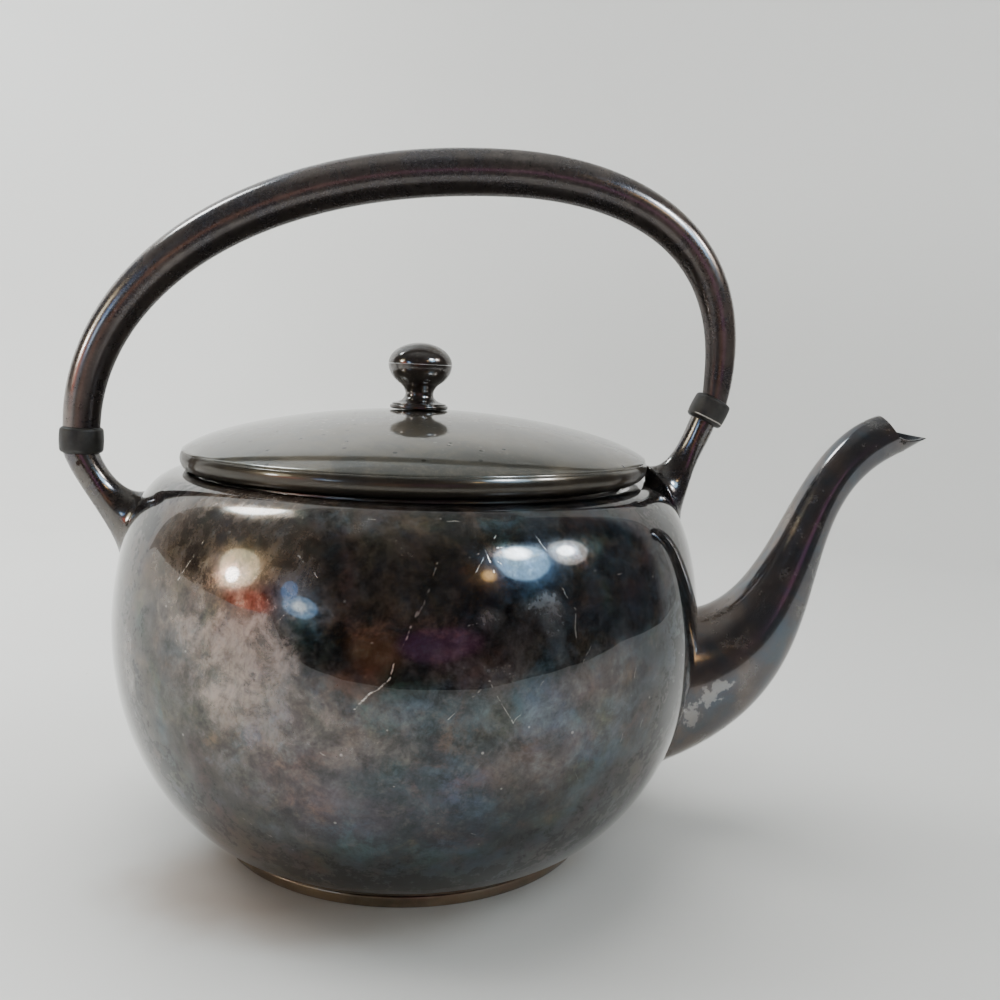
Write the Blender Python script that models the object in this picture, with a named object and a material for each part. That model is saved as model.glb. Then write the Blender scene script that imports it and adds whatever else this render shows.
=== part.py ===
"""Silver teapot: spouted pot with a fixed hoop handle and a lift-off lid."""
import math

import bmesh
import bpy
import numpy as np
from mathutils import Matrix, Vector

MM = 0.001
SHARP_ANGLE = math.radians(38.0)

# Body, a shell of revolution about the pot's axis
BODY_RADIUS = 82.5 * MM
BELLY_HEIGHT = 62.5 * MM
BODY_WALL = 1.0 * MM
MOUTH_HOLE_RADIUS = 58.6 * MM
MOUTH_HOLE_HEIGHT = 102.7 * MM
SHOULDER_RADIUS = 60.5 * MM
SHOULDER_HEIGHT = 103.3 * MM
BASE_RADIUS = 54.4 * MM
BASE_HEIGHT = 3.9 * MM
GAP = 0.3 * MM
BODY_TURNS = 48

# Foot ring
FOOT_RADIUS = 53.2 * MM
FOOT_TOP_RADIUS = 54.0 * MM
FOOT_WIDTH = 3.0 * MM

# Ring soldered into the mouth, and the lid's flange inside it
MOUTH_RING_OUTER = 58.3 * MM
MOUTH_RING_INNER = 57.2 * MM
MOUTH_RING_TOP = 103.7 * MM
MOUTH_RING_BOTTOM = 96.5 * MM
FLANGE_OUTER = 56.6 * MM
FLANGE_INNER = 55.8 * MM
FLANGE_TOP = 105.9 * MM
FLANGE_BOTTOM = 95.5 * MM

# Lid
LID_RADIUS = 65.3 * MM
LID_EDGE_HEIGHT = 110.3 * MM
LID_TOP = 121.6 * MM
LID_BAND_TOP_RADIUS = 64.7 * MM
LID_BAND_TOP_HEIGHT = 109.1 * MM
LID_BAND_RADIUS = 57.1 * MM
LID_BAND_BOTTOM = 104.0 * MM
LID_WALL = 0.9 * MM
STUD_RADIUS = 1.5 * MM
STUD_HOLE_RADIUS = 1.85 * MM

# Knob, a flattened ball on a waisted foot
KNOB_RADIUS = 9.05 * MM
KNOB_CENTRE = 134.4 * MM
KNOB_HALF_HEIGHT = 6.0 * MM
KNOB_WALL = 0.8 * MM
KNOB_LOWER_HEIGHT = 7.1 * MM
NECK_RADIUS = 3.7 * MM
NECK_HEIGHT = 125.6 * MM
KNOB_FOOT_RADIUS = 8.3 * MM
KNOB_FOOT_BOTTOM = 121.9 * MM
STUD_HEAD_RADIUS = 3.2 * MM
STUD_HEAD_BOTTOM = 129.9 * MM
STUD_HEAD_TOP = 131.3 * MM
STUD_BOTTOM = 114.8 * MM
WASHER_RADIUS = 6.0 * MM
WASHER_TOP = 120.3 * MM
WASHER_BOTTOM = 119.4 * MM
NUT_RADIUS = 4.4 * MM
NUT_TOP = 119.1 * MM
NUT_BOTTOM = 116.6 * MM

# Hoop handle: centre line in the pot's own plane of symmetry
BAIL_REAR = (-93.4 * MM, 113.6 * MM)
BAIL_TOP = (24.0 * MM, 188.5 * MM)
BAIL_FRONT = (86.3 * MM, 128.2 * MM)
BAIL_REAR_RISE = 37.9 * MM
BAIL_TOP_REAR_RUN = 75.9 * MM
BAIL_TOP_FRONT_RUN = 26.1 * MM
BAIL_FRONT_RUN = 51.9 * MM
BAIL_FRONT_LEAN = 0.14
BAIL_REAR_RADIUS = 4.95 * MM
BAIL_TOP_RADIUS = 6.5 * MM
BAIL_FRONT_RADIUS = 3.9 * MM
TUBE_WALL = 1.0 * MM

# Insulating collars between the hoop and its two sockets
COLLAR_LENGTH = 6.8 * MM
REAR_COLLAR_RADIUS = 5.8 * MM
FRONT_COLLAR_RADIUS = 5.35 * MM
FRONT_COLLAR_LEAN = 0.43
# The way each socket leaves its collar (along, up), which its bore and spigot share.
REAR_SOCKET_LEAN = (0.33, -0.94)
FRONT_SOCKET_LEAN = (-0.36, -0.93)
SPIGOT_LENGTH = 4.8 * MM
PIN_RADIUS = 0.75 * MM
PIN_HOLE_RADIUS = 1.05 * MM
PIN_SETBACK = 2.6 * MM

# Spout: upper and lower edges in the plane of symmetry
SPOUT_UPPER = ((82.6, 65.0), (109.8, 67.2), (109.1, 115.9), (136.4, 125.2))
SPOUT_LOWER = ((67.5, 15.0), (142.0, 38.9), (102.8, 94.9), (144.2, 114.6))
SPOUT_RIM_UPPER = ((137.7, 0.0, 124.9), (137.9, 3.4, 124.4), (138.9, 5.3, 121.9),
                   (141.2, 5.2, 119.4))
SPOUT_RIM_LOWER = ((141.2, 5.2, 119.4), (142.9, 5.1, 117.5), (147.6, 3.1, 117.9),
                   (151.6, 0.0, 118.8))
SPOUT_RIM_MIDDLE = (143.6 * MM, 0.0, 120.3 * MM)
SPOUT_RIM_SCALE = 0.85
SPOUT_WALL = 0.9 * MM
SPOUT_ROOT_HALF_WIDTH = 17.5 * MM
SPOUT_NECK_HALF_WIDTH = 6.6 * MM
SPOUT_LIP_HALF_WIDTH = 5.6 * MM
STRAINER_HOLE_RADIUS = 1.9 * MM
STRAINER_PITCH = 7.0 * MM
STRAINER_HEIGHT = 42.0 * MM


def material(name, colour, metallic, roughness):
    """One plain surface for one kind of material."""
    found = bpy.data.materials.get(name)
    if found:
        return found
    made = bpy.data.materials.new(name)
    made.use_nodes = True
    shader = made.node_tree.nodes["Principled BSDF"]
    shader.inputs["Base Color"].default_value = (*colour, 1.0)
    shader.inputs["Metallic"].default_value = metallic
    shader.inputs["Roughness"].default_value = roughness
    return made


def silver():
    return material("tarnished_silver", (0.23, 0.22, 0.24), 1.0, 0.28)


def brass():
    return material("plain_brass", (0.55, 0.42, 0.22), 1.0, 0.35)


def collar_grey():
    return material("collar_grey", (0.07, 0.07, 0.065), 0.0, 0.6)


def skin(name, rings, surface, loop=False):
    """One closed body through rings of points; a one-point ring closes an end."""
    work = bmesh.new()
    made = []
    for ring in rings:
        made.append([work.verts.new(Vector(point)) for point in ring])
    pairs = list(zip(made[:-1], made[1:]))
    if loop:
        pairs.append((made[-1], made[0]))
    for first, second in pairs:
        count = max(len(first), len(second))
        for index in range(count):
            after = (index + 1) % count
            corners = [first[index % len(first)], first[after % len(first)],
                       second[after % len(second)], second[index % len(second)]]
            unique = []
            for corner in corners:
                if corner not in unique:
                    unique.append(corner)
            if len(unique) > 2:
                work.faces.new(unique)
    bmesh.ops.triangulate(work, faces=[f for f in work.faces if len(f.verts) > 4])
    bmesh.ops.recalc_face_normals(work, faces=work.faces)
    if work.calc_volume(signed=True) < 0:
        bmesh.ops.reverse_faces(work, faces=work.faces)
    mesh = bpy.data.meshes.new(name)
    work.to_mesh(mesh)
    work.free()
    mesh.materials.append(surface)
    made_object = bpy.data.objects.new(name, mesh)
    bpy.context.scene.collection.objects.link(made_object)
    return made_object


def circle(radius, height, turns):
    """A level ring of points about the pot's axis; a single point on the axis."""
    if radius < 1e-7:
        return [(0.0, 0.0, height)]
    angles = [2.0 * math.pi * index / turns for index in range(turns)]
    return [(radius * math.cos(a), radius * math.sin(a), height) for a in angles]


def lathe(name, profile, surface, turns=BODY_TURNS):
    """A closed profile of (radius, height) turned about the pot's axis."""
    rings = [circle(radius, height, turns) for radius, height in profile]
    open_ended = profile[0][0] < 1e-7 and profile[-1][0] < 1e-7
    return skin(name, rings, surface, loop=not open_ended)


def bezier(points, steps):
    """Points along a cubic curve, both ends included."""
    a, b, c, d = [np.array(point, dtype=float) for point in points]
    t = np.linspace(0.0, 1.0, steps)[:, None]
    return (1 - t) ** 3 * a + 3 * (1 - t) ** 2 * t * b + 3 * (1 - t) * t ** 2 * c + t ** 3 * d


def offset(line, distance):
    """The same flat line moved sideways, to the left of its direction of travel."""
    line = np.array(line, dtype=float)
    along = np.gradient(line, axis=0)
    along /= np.linalg.norm(along, axis=1)[:, None]
    normal = np.stack([-along[:, 1], along[:, 0]], axis=1)
    return line + normal * distance


def body_outline(shoulder_steps=9, belly_steps=9):
    """The body's outer line, from the mouth edge down to the base."""
    shoulder = bezier([(SHOULDER_RADIUS, SHOULDER_HEIGHT),
                       (SHOULDER_RADIUS + 17.7 * MM, SHOULDER_HEIGHT + 5.5 * MM),
                       (BODY_RADIUS, BELLY_HEIGHT + 11.1 * MM),
                       (BODY_RADIUS, BELLY_HEIGHT)], shoulder_steps)
    belly = bezier([(BODY_RADIUS, BELLY_HEIGHT),
                    (BODY_RADIUS, BELLY_HEIGHT - 29.9 * MM),
                    (BASE_RADIUS + 13.8 * MM, BASE_HEIGHT + 7.4 * MM),
                    (BASE_RADIUS, BASE_HEIGHT)], belly_steps)
    return np.vstack([[(MOUTH_HOLE_RADIUS, MOUTH_HOLE_HEIGHT)], shoulder, belly[1:]])


def body_radius(height):
    """The body's outer radius at a height, outside its highest point."""
    line = body_outline(80, 80)
    start = int(np.argmax(line[:, 1]))
    line = line[start:][::-1]
    return float(np.interp(height, line[:, 1], line[:, 0]))


def on_body(side, across, height, gap):
    """A point just off the body's outer surface, at +X or -X side of the axis."""
    radius = body_radius(height) + gap
    return np.array([side * math.sqrt(radius ** 2 - across ** 2), across, height])


def base_outline():
    """The base inside the foot ring: a tight turn, then a shallow push up."""
    return [(52.0 * MM, 3.15 * MM), (48.5 * MM, 2.9 * MM), (43.0 * MM, 3.3 * MM),
            (30.0 * MM, 4.6 * MM), (15.0 * MM, 5.4 * MM), (0.0, 5.6 * MM)]


def body_shell():
    outer = [tuple(point) for point in body_outline()] + base_outline()
    inner = [tuple(point) for point in offset(outer, -BODY_WALL)]
    inner[0] = (MOUTH_HOLE_RADIUS, MOUTH_HOLE_HEIGHT - BODY_WALL)
    inner[-1] = (0.0, base_outline()[-1][1] + BODY_WALL)
    profile = outer[::-1] + inner
    shell = lathe("body_shell", profile, silver())
    spots = [(0.0, 0.0)]
    for index in range(6):
        turn = math.pi * index / 3.0
        spots.append((STRAINER_PITCH * math.cos(turn), STRAINER_PITCH * math.sin(turn)))
    for across, up in spots:
        height = STRAINER_HEIGHT + up
        drill(shell, (70.0 * MM, across, height), (95.0 * MM, across, height),
              STRAINER_HOLE_RADIUS)
    return shell


def drill(target, start, end, radius):
    """A round hole through one object, from start to end."""
    start = Vector(start)
    end = Vector(end)
    along = (end - start).normalized()
    side = along.cross(Vector((0.31, 0.17, 0.93))).normalized()
    other = along.cross(side).normalized()
    rings = [[tuple(start)]]
    for centre in (start, end):
        ring = []
        for index in range(10):
            angle = 2.0 * math.pi * index / 10
            ring.append(tuple(centre + radius * (math.cos(angle) * side
                                                 + math.sin(angle) * other)))
        rings.append(ring)
    rings.append([tuple(end)])
    cutter = skin("cutter", rings, silver())
    change = target.modifiers.new("drill", "BOOLEAN")
    change.operation = "DIFFERENCE"
    change.solver = "EXACT"
    change.object = cutter
    bpy.context.view_layer.update()
    graph = bpy.context.evaluated_depsgraph_get()
    result = bpy.data.meshes.new_from_object(target.evaluated_get(graph))
    target.modifiers.remove(change)
    target.data = result
    bpy.data.objects.remove(cutter, do_unlink=True)


def foot_ring():
    top = [(FOOT_TOP_RADIUS, BASE_HEIGHT - 0.35 * MM), (52.0 * MM, 2.8 * MM),
           (FOOT_RADIUS - FOOT_WIDTH + 0.3 * MM, 2.6 * MM)]
    profile = [(FOOT_RADIUS - FOOT_WIDTH, 0.0), (FOOT_RADIUS, 0.0),
               (FOOT_RADIUS + 0.6 * MM, 1.6 * MM)] + top
    return lathe("foot_ring", profile, silver())


def mouth_ring():
    profile = [(MOUTH_RING_INNER, MOUTH_RING_BOTTOM), (MOUTH_RING_OUTER, MOUTH_RING_BOTTOM),
               (MOUTH_RING_OUTER, MOUTH_RING_TOP), (MOUTH_RING_INNER, MOUTH_RING_TOP)]
    return lathe("mouth_ring", profile, silver())


def lid_outline(dome_steps=9, band_steps=4):
    """The lid's outer line, from the stud hole over the edge to the band's lower lip."""
    dome = bezier([(STUD_HOLE_RADIUS, LID_TOP), (24.7 * MM, LID_TOP),
                   (LID_RADIUS - 0.2 * MM, LID_EDGE_HEIGHT + 4.9 * MM),
                   (LID_RADIUS, LID_EDGE_HEIGHT)], dome_steps)
    band = bezier([(LID_BAND_TOP_RADIUS, LID_BAND_TOP_HEIGHT),
                   (LID_BAND_TOP_RADIUS - 0.3 * MM, LID_BAND_TOP_HEIGHT - 2.8 * MM),
                   (LID_BAND_RADIUS + 4.4 * MM, LID_BAND_BOTTOM + 0.5 * MM),
                   (LID_BAND_RADIUS, LID_BAND_BOTTOM)], band_steps)
    return np.vstack([dome, band])


def lid_dome():
    outer = lid_outline()
    inner = offset(outer, -LID_WALL)
    inner[0] = (STUD_HOLE_RADIUS, LID_TOP - LID_WALL)
    profile = [tuple(point) for point in outer] + [tuple(point) for point in inner[::-1]]
    return lathe("lid_dome", profile, silver())


def lid_flange():
    profile = [(FLANGE_INNER, FLANGE_BOTTOM), (FLANGE_OUTER, FLANGE_BOTTOM),
               (FLANGE_OUTER, FLANGE_TOP), (FLANGE_INNER, FLANGE_TOP)]
    return lathe("lid_flange", profile, silver())


def knob_arc(radius, half_height, start, end, steps):
    """Part of the flattened ball's outline; angles run from the top downwards."""
    line = []
    for angle in np.linspace(start, end, steps):
        line.append((radius * math.sin(angle), KNOB_CENTRE + half_height * math.cos(angle)))
    return line


def knob_cap():
    """Upper half of the ball, a thin cup open underneath."""
    quarter = math.pi / 2
    outer = knob_arc(KNOB_RADIUS, KNOB_HALF_HEIGHT, 0.0, quarter, 6)
    inner = knob_arc(KNOB_RADIUS - KNOB_WALL, KNOB_HALF_HEIGHT - KNOB_WALL, quarter, 0.0, 6)
    outer[0] = (0.0, outer[0][1])
    inner[-1] = (0.0, inner[-1][1])
    raised = [(radius, height + GAP / 2) for radius, height in outer + inner]
    return lathe("knob_cap", raised, silver(), 20)


def knob_base():
    """Lower half of the ball, the waist and the spreading foot, bored for the stud."""
    quarter = math.pi / 2
    outer = knob_arc(KNOB_RADIUS, KNOB_LOWER_HEIGHT, quarter, 2.5, 6)
    outer = [(radius, height - GAP / 2) for radius, height in outer]
    waist = bezier([outer[-1], (NECK_RADIUS - 0.1 * MM, NECK_HEIGHT + 1.3 * MM),
                    (NECK_RADIUS - 0.7 * MM, NECK_HEIGHT - 1.4 * MM),
                    (KNOB_FOOT_RADIUS - 0.9 * MM, KNOB_FOOT_BOTTOM + 1.5 * MM)], 6)
    foot = [(KNOB_FOOT_RADIUS - 0.3 * MM, KNOB_FOOT_BOTTOM + 1.2 * MM),
            (KNOB_FOOT_RADIUS, KNOB_FOOT_BOTTOM + 0.8 * MM),
            (KNOB_FOOT_RADIUS, KNOB_FOOT_BOTTOM)]
    bowl = knob_arc(KNOB_RADIUS - KNOB_WALL, KNOB_LOWER_HEIGHT - KNOB_WALL, 2.3, quarter, 4)
    bowl = [(radius, height - GAP / 2) for radius, height in bowl]
    floor = STUD_HEAD_BOTTOM - GAP
    profile = outer + [tuple(p) for p in waist[1:]] + foot
    profile += [(STUD_HOLE_RADIUS, KNOB_FOOT_BOTTOM), (STUD_HOLE_RADIUS, floor)]
    profile += [(bowl[0][0] - 0.6 * MM, floor)] + bowl
    return lathe("knob_base", profile, silver(), 20)


def knob_stud():
    profile = [(0.0, STUD_BOTTOM), (STUD_RADIUS, STUD_BOTTOM),
               (STUD_RADIUS, STUD_HEAD_BOTTOM), (STUD_HEAD_RADIUS, STUD_HEAD_BOTTOM),
               (STUD_HEAD_RADIUS, STUD_HEAD_TOP), (0.0, STUD_HEAD_TOP)]
    return lathe("knob_stud", profile, brass(), 16)


def knob_washer():
    profile = [(STUD_HOLE_RADIUS, WASHER_BOTTOM), (WASHER_RADIUS, WASHER_BOTTOM),
               (WASHER_RADIUS, WASHER_TOP), (STUD_HOLE_RADIUS, WASHER_TOP)]
    return lathe("knob_washer", profile, brass(), 24)


def knob_nut():
    """A six-sided nut; the bore keeps the same count of sides."""
    profile = [(STUD_HOLE_RADIUS + 0.2 * MM, NUT_BOTTOM), (NUT_RADIUS, NUT_BOTTOM),
               (NUT_RADIUS, NUT_TOP), (STUD_HOLE_RADIUS + 0.2 * MM, NUT_TOP)]
    return lathe("knob_nut", profile, brass(), 6)


def handle_line():
    """Centre line of the hoop, rear collar to front collar, with its tube radii."""
    lean = (math.sin(BAIL_FRONT_LEAN), math.cos(BAIL_FRONT_LEAN))
    rear = bezier([BAIL_REAR, (BAIL_REAR[0] + 0.7 * MM, BAIL_REAR[1] + BAIL_REAR_RISE),
                   (BAIL_TOP[0] - BAIL_TOP_REAR_RUN, BAIL_TOP[1]), BAIL_TOP], 60)
    front = bezier([BAIL_TOP, (BAIL_TOP[0] + BAIL_TOP_FRONT_RUN, BAIL_TOP[1]),
                    (BAIL_FRONT[0] + lean[0] * BAIL_FRONT_RUN,
                     BAIL_FRONT[1] + lean[1] * BAIL_FRONT_RUN), BAIL_FRONT], 60)
    line = np.vstack([rear, front[1:]])
    run = np.concatenate([[0.0], np.cumsum(np.linalg.norm(np.diff(line, axis=0), axis=1))])
    run /= run[-1]
    ends = np.where(run < 0.5, BAIL_REAR_RADIUS, BAIL_FRONT_RADIUS)
    radii = ends + (BAIL_TOP_RADIUS - ends) * np.sin(math.pi * run)
    return line, run, radii


def tube_ring(centre, along, radius, turns=14):
    """A round ring about a point of the symmetry plane, square to a direction."""
    inward = np.array([-along[1], along[0]])
    ring = []
    for index in range(turns):
        angle = 2.0 * math.pi * index / turns
        flat = np.array(centre) + inward * radius * math.cos(angle)
        ring.append((flat[0], radius * math.sin(angle), flat[1]))
    return ring


def handle_ends():
    """Rear and front ends of the hoop: point, then the hoop's way, the collar's, the socket's."""
    line, run, radii = handle_line()
    rear = line[0] - line[1]
    rear /= np.linalg.norm(rear)
    front = line[-1] - line[-2]
    front /= np.linalg.norm(front)
    collar_way = np.array([-math.sin(FRONT_COLLAR_LEAN), -math.cos(FRONT_COLLAR_LEAN)])
    return ((line[0], rear, rear, unit(REAR_SOCKET_LEAN)),
            (line[-1], front, collar_way, unit(FRONT_SOCKET_LEAN)))


def unit(flat):
    return np.array(flat) / math.hypot(*flat)


def handle_bail(steps=24):
    line, run, radii = handle_line()
    spots = np.linspace(0.0, 1.0, steps)
    x = np.interp(spots, run, line[:, 0])
    z = np.interp(spots, run, line[:, 1])
    tube = np.interp(spots, run, radii)
    centres = np.stack([x, z], axis=1)
    along = np.gradient(centres, axis=0)
    along /= np.linalg.norm(along, axis=1)[:, None]
    along[0] = -handle_ends()[0][2]
    along[-1] = handle_ends()[1][2]
    outer = [tube_ring(c, a, r) for c, a, r in zip(centres, along, tube)]
    inner = [tube_ring(c, a, r - TUBE_WALL) for c, a, r in zip(centres, along, tube)]
    bail = skin("handle_bail", outer + inner[::-1], silver(), loop=True)
    for point, direction, collar_way, sunk in handle_ends():
        pin_hole(bail, point - direction * PIN_SETBACK)
    return bail


def pin_hole(target, spot):
    drill(target, (spot[0], -15.0 * MM, spot[1]), (spot[0], 15.0 * MM, spot[1]),
          PIN_HOLE_RADIUS)


def pin(name, spot, reach):
    """A plain cross pin through the tube and the collar's spigot."""
    rings = []
    for across in (-reach, reach):
        ring = []
        for index in range(10):
            angle = 2.0 * math.pi * index / 10
            ring.append((spot[0] + PIN_RADIUS * math.cos(angle), across,
                         spot[1] + PIN_RADIUS * math.sin(angle)))
        rings.append(ring)
    centre = [[(spot[0], -reach, spot[1])], [(spot[0], reach, spot[1])]]
    return skin(name, [centre[0]] + rings + [centre[1]], silver())


def collar(name, end, radius, hoop_radius, socket_radius):
    """A rounded collar with a spigot into the hoop and another into the socket."""
    point, hoop_way, along, sunk = end
    start = point + along * GAP
    hoop_bore = hoop_radius - TUBE_WALL - 2 * GAP
    socket_bore = socket_radius - TUBE_WALL - 1.5 * GAP
    deep = point - hoop_way * SPIGOT_LENGTH
    stations = [(0.0, hoop_bore), (0.0, radius - 0.8 * MM), (0.7 * MM, radius),
                (COLLAR_LENGTH - 0.7 * MM, radius), (COLLAR_LENGTH, radius - 0.8 * MM),
                (COLLAR_LENGTH, socket_bore)]
    tip = start + along * COLLAR_LENGTH + sunk * SPIGOT_LENGTH
    rings = [[plane_point(deep)], tube_ring(deep, hoop_way, hoop_bore, 16)]
    rings += [tube_ring(start + along * run, along, size, 16) for run, size in stations]
    rings += [tube_ring(tip, along, socket_bore, 16), [plane_point(tip)]]
    made = skin(name, rings, collar_grey())
    pin_hole(made, point - hoop_way * PIN_SETBACK)
    pin_hole(made, socket_start(end) + sunk * PIN_SETBACK)
    return made


def plane_point(flat):
    return (float(flat[0]), 0.0, float(flat[1]))


def socket_start(end):
    point, hoop_way, along, sunk = end
    return point + along * (COLLAR_LENGTH + 2 * GAP)


def socket(name, end, radius, side, footprint, lengths, rise, turns=16):
    """A flared socket from the collar down onto the body, with a bore at its top.

    Skin and bore leave the collar along the socket's own way; the inner edge stands
    `rise` off the body.
    """
    start = socket_start(end)
    along = end[2]
    sunk = end[3]
    low, high, half_width = footprint
    middle = (low + high) / 2
    half_height = (high - low) / 2
    inward = np.array([side * along[1], -side * along[0]]) * -1.0
    if inward[0] * side > 0:
        inward = -inward
    hub = on_body(side, 0.0, middle, GAP)
    angles = [2.0 * math.pi * index / turns for index in range(turns)]
    tops = []
    feet = []
    slopes = []
    for angle in angles:
        flat = start + inward * radius * math.cos(angle)
        tops.append(np.array([flat[0], radius * math.sin(angle), flat[1]]))
        foot = on_body(side, half_width * math.sin(angle),
                       middle + half_height * math.cos(angle), GAP)
        share = 0.5 + 0.5 * math.cos(angle)
        feet.append(foot + np.array([0.0, 0.0, rise * share ** 2]))
        spread = foot - hub
        spread /= np.linalg.norm(spread)
        toward = np.array([-side, 0.0, 0.0])
        slope = toward * (0.25 + 0.6 * share) + spread * (0.95 - 0.55 * share)
        slopes.append(slope / np.linalg.norm(slope))
    down = np.array([sunk[0], 0.0, sunk[1]])
    rings = []
    for t in np.linspace(0.0, 1.0, 7):
        ring = []
        for angle, top, foot, slope in zip(angles, tops, feet, slopes):
            share = 0.5 - 0.5 * math.cos(angle)
            reach = lengths[0] + (lengths[1] - lengths[0]) * share
            point = (top * (2 * t ** 3 - 3 * t ** 2 + 1) + foot * (3 * t ** 2 - 2 * t ** 3)
                     + down * reach * (t ** 3 - 2 * t ** 2 + t)
                     + slope * reach * (t ** 3 - t ** 2))
            ring.append(tuple(point))
        rings.append(ring)
    for scale in (1.0, 0.66, 0.33):
        ring = []
        for angle in angles:
            ring.append(tuple(on_body(side, scale * half_width * math.sin(angle),
                                      middle + scale * half_height * math.cos(angle), GAP)))
        rings.append(ring)
    rings.append([tuple(hub)])
    bore = []
    for depth in (SPIGOT_LENGTH + 2 * GAP, 0.0):
        ring = []
        for angle in angles:
            flat = start + sunk * depth + inward * (radius - TUBE_WALL) * math.cos(angle)
            ring.append((flat[0], (radius - TUBE_WALL) * math.sin(angle), flat[1]))
        bore.append(ring)
    bottom = [[plane_point(start + sunk * (SPIGOT_LENGTH + 2 * GAP))]]
    made = skin(name, bottom + bore + rings, silver())
    pin_hole(made, start + sunk * PIN_SETBACK)
    return made


def spout_sections(wall):
    """Upper and lower edges, half width and place along the spout, root to tip."""
    upper = bezier([(x * MM, z * MM) for x, z in SPOUT_UPPER], 11)
    lower = bezier([(x * MM, z * MM) for x, z in SPOUT_LOWER], 11)
    place = np.linspace(0.0, 1.0, 11)
    width = (SPOUT_NECK_HALF_WIDTH
             + (SPOUT_ROOT_HALF_WIDTH - SPOUT_NECK_HALF_WIDTH) * (1 - place) ** 2.2)
    width = width + (SPOUT_LIP_HALF_WIDTH - SPOUT_NECK_HALF_WIDTH) * place ** 3
    sections = []
    for top, bottom, half in zip(upper, lower, width):
        span = np.linalg.norm(top - bottom)
        shrink = (top - bottom) / span * wall
        sections.append((top - shrink, bottom + shrink, half - wall))
    return sections


def spout_rim(turns):
    """The rim of the mouth: a short hood above, a long pouring lip below."""
    steps = turns // 4 + 1
    upper = bezier(SPOUT_RIM_UPPER, steps) * MM
    lower = bezier(SPOUT_RIM_LOWER, steps) * MM
    near = np.vstack([upper, lower[1:]])
    far = near[1:-1][::-1] * np.array([1.0, -1.0, 1.0])
    return np.vstack([near, far])


def section_point(section, angle):
    """A point of one oval section; angle 0 is the upper edge, pi the lower."""
    top, bottom, half = section
    flat = (top + bottom) / 2 + (top - bottom) / 2 * math.cos(angle)
    return (float(flat[0]), half * math.sin(angle), float(flat[1]))


def spout_skin(wall, turns):
    """Rings of one surface of the spout, from the body out to the rim of the lip."""
    sections = spout_sections(wall)
    angles = [2.0 * math.pi * index / turns for index in range(turns)]
    rings = []
    for index, section in enumerate(sections):
        ring = [section_point(section, angle) for angle in angles]
        if index == 0:
            ring = [tuple(on_body(1.0, y, z, GAP)) for x, y, z in ring]
        rings.append(ring)
    throat = np.array(rings[-1])
    rim = spout_rim(turns)
    if wall > 0.0:
        middle = np.array(SPOUT_RIM_MIDDLE)
        rim = middle + (rim - middle) * SPOUT_RIM_SCALE
    for step in (0.35, 0.7, 1.0):
        blend = throat + (rim - throat) * step
        rings.append([tuple(point) for point in blend])
    return rings


def spout():
    turns = 20
    outer = spout_skin(0.0, turns)
    inner = spout_skin(SPOUT_WALL, turns)
    return skin("spout", outer + inner[::-1], silver(), loop=True)


def build():
    for old in list(bpy.data.objects):
        bpy.data.objects.remove(old, do_unlink=True)
    rear, front = handle_ends()
    made = [body_shell(), mouth_ring(), foot_ring(), spout()]
    rear_socket_radius = 4.8 * MM
    front_socket_radius = 3.75 * MM
    made.append(collar("insulator_rear", rear, REAR_COLLAR_RADIUS, BAIL_REAR_RADIUS,
                       rear_socket_radius))
    made.append(collar("insulator_front", front, FRONT_COLLAR_RADIUS, BAIL_FRONT_RADIUS,
                       front_socket_radius))
    made.append(handle_bail())
    made.append(socket("handle_socket_rear", rear, rear_socket_radius, -1.0,
                       (73.0 * MM, 95.5 * MM, 7.2 * MM), (17.0 * MM, 34.0 * MM), 0.6 * MM))
    made.append(socket("handle_socket_front", front, front_socket_radius, 1.0,
                       (90.0 * MM, 103.4 * MM, 7.6 * MM), (20.0 * MM, 30.0 * MM), 4.6 * MM))
    for label, end, size, below in (("rear", rear, BAIL_REAR_RADIUS, rear_socket_radius),
                                    ("front", front, BAIL_FRONT_RADIUS, front_socket_radius)):
        point, hoop_way, along, sunk = end
        made.append(pin("pin_%s_upper" % label, point - hoop_way * PIN_SETBACK, size))
        made.append(pin("pin_%s_lower" % label, socket_start(end) + sunk * PIN_SETBACK, below))
    made += [lid_dome(), lid_flange(), knob_cap(), knob_base(), knob_stud(), knob_washer(),
             knob_nut()]
    centre_on_footprint(made)


def shade(item):
    """Round faces shaded smooth, with the real edges kept sharp."""
    item.data.shade_smooth()
    item.data.set_sharp_from_angle(angle=SHARP_ANGLE)


def centre_on_footprint(made):
    """Move the whole pot so that its bounding box is centred over the origin."""
    corners = np.array([vertex.co[:] for item in made for vertex in item.data.vertices])
    low = corners.min(axis=0)
    high = corners.max(axis=0)
    shift = Vector((-(low[0] + high[0]) / 2, -(low[1] + high[1]) / 2, -low[2]))
    for item in made:
        item.data.transform(Matrix.Translation(shift))
        shade(item)


build()
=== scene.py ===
"""Looks for the silver teapot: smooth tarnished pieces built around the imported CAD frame."""
import math

import bmesh
import bpy
import numpy as np
from mathutils import Matrix, Vector

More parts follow.
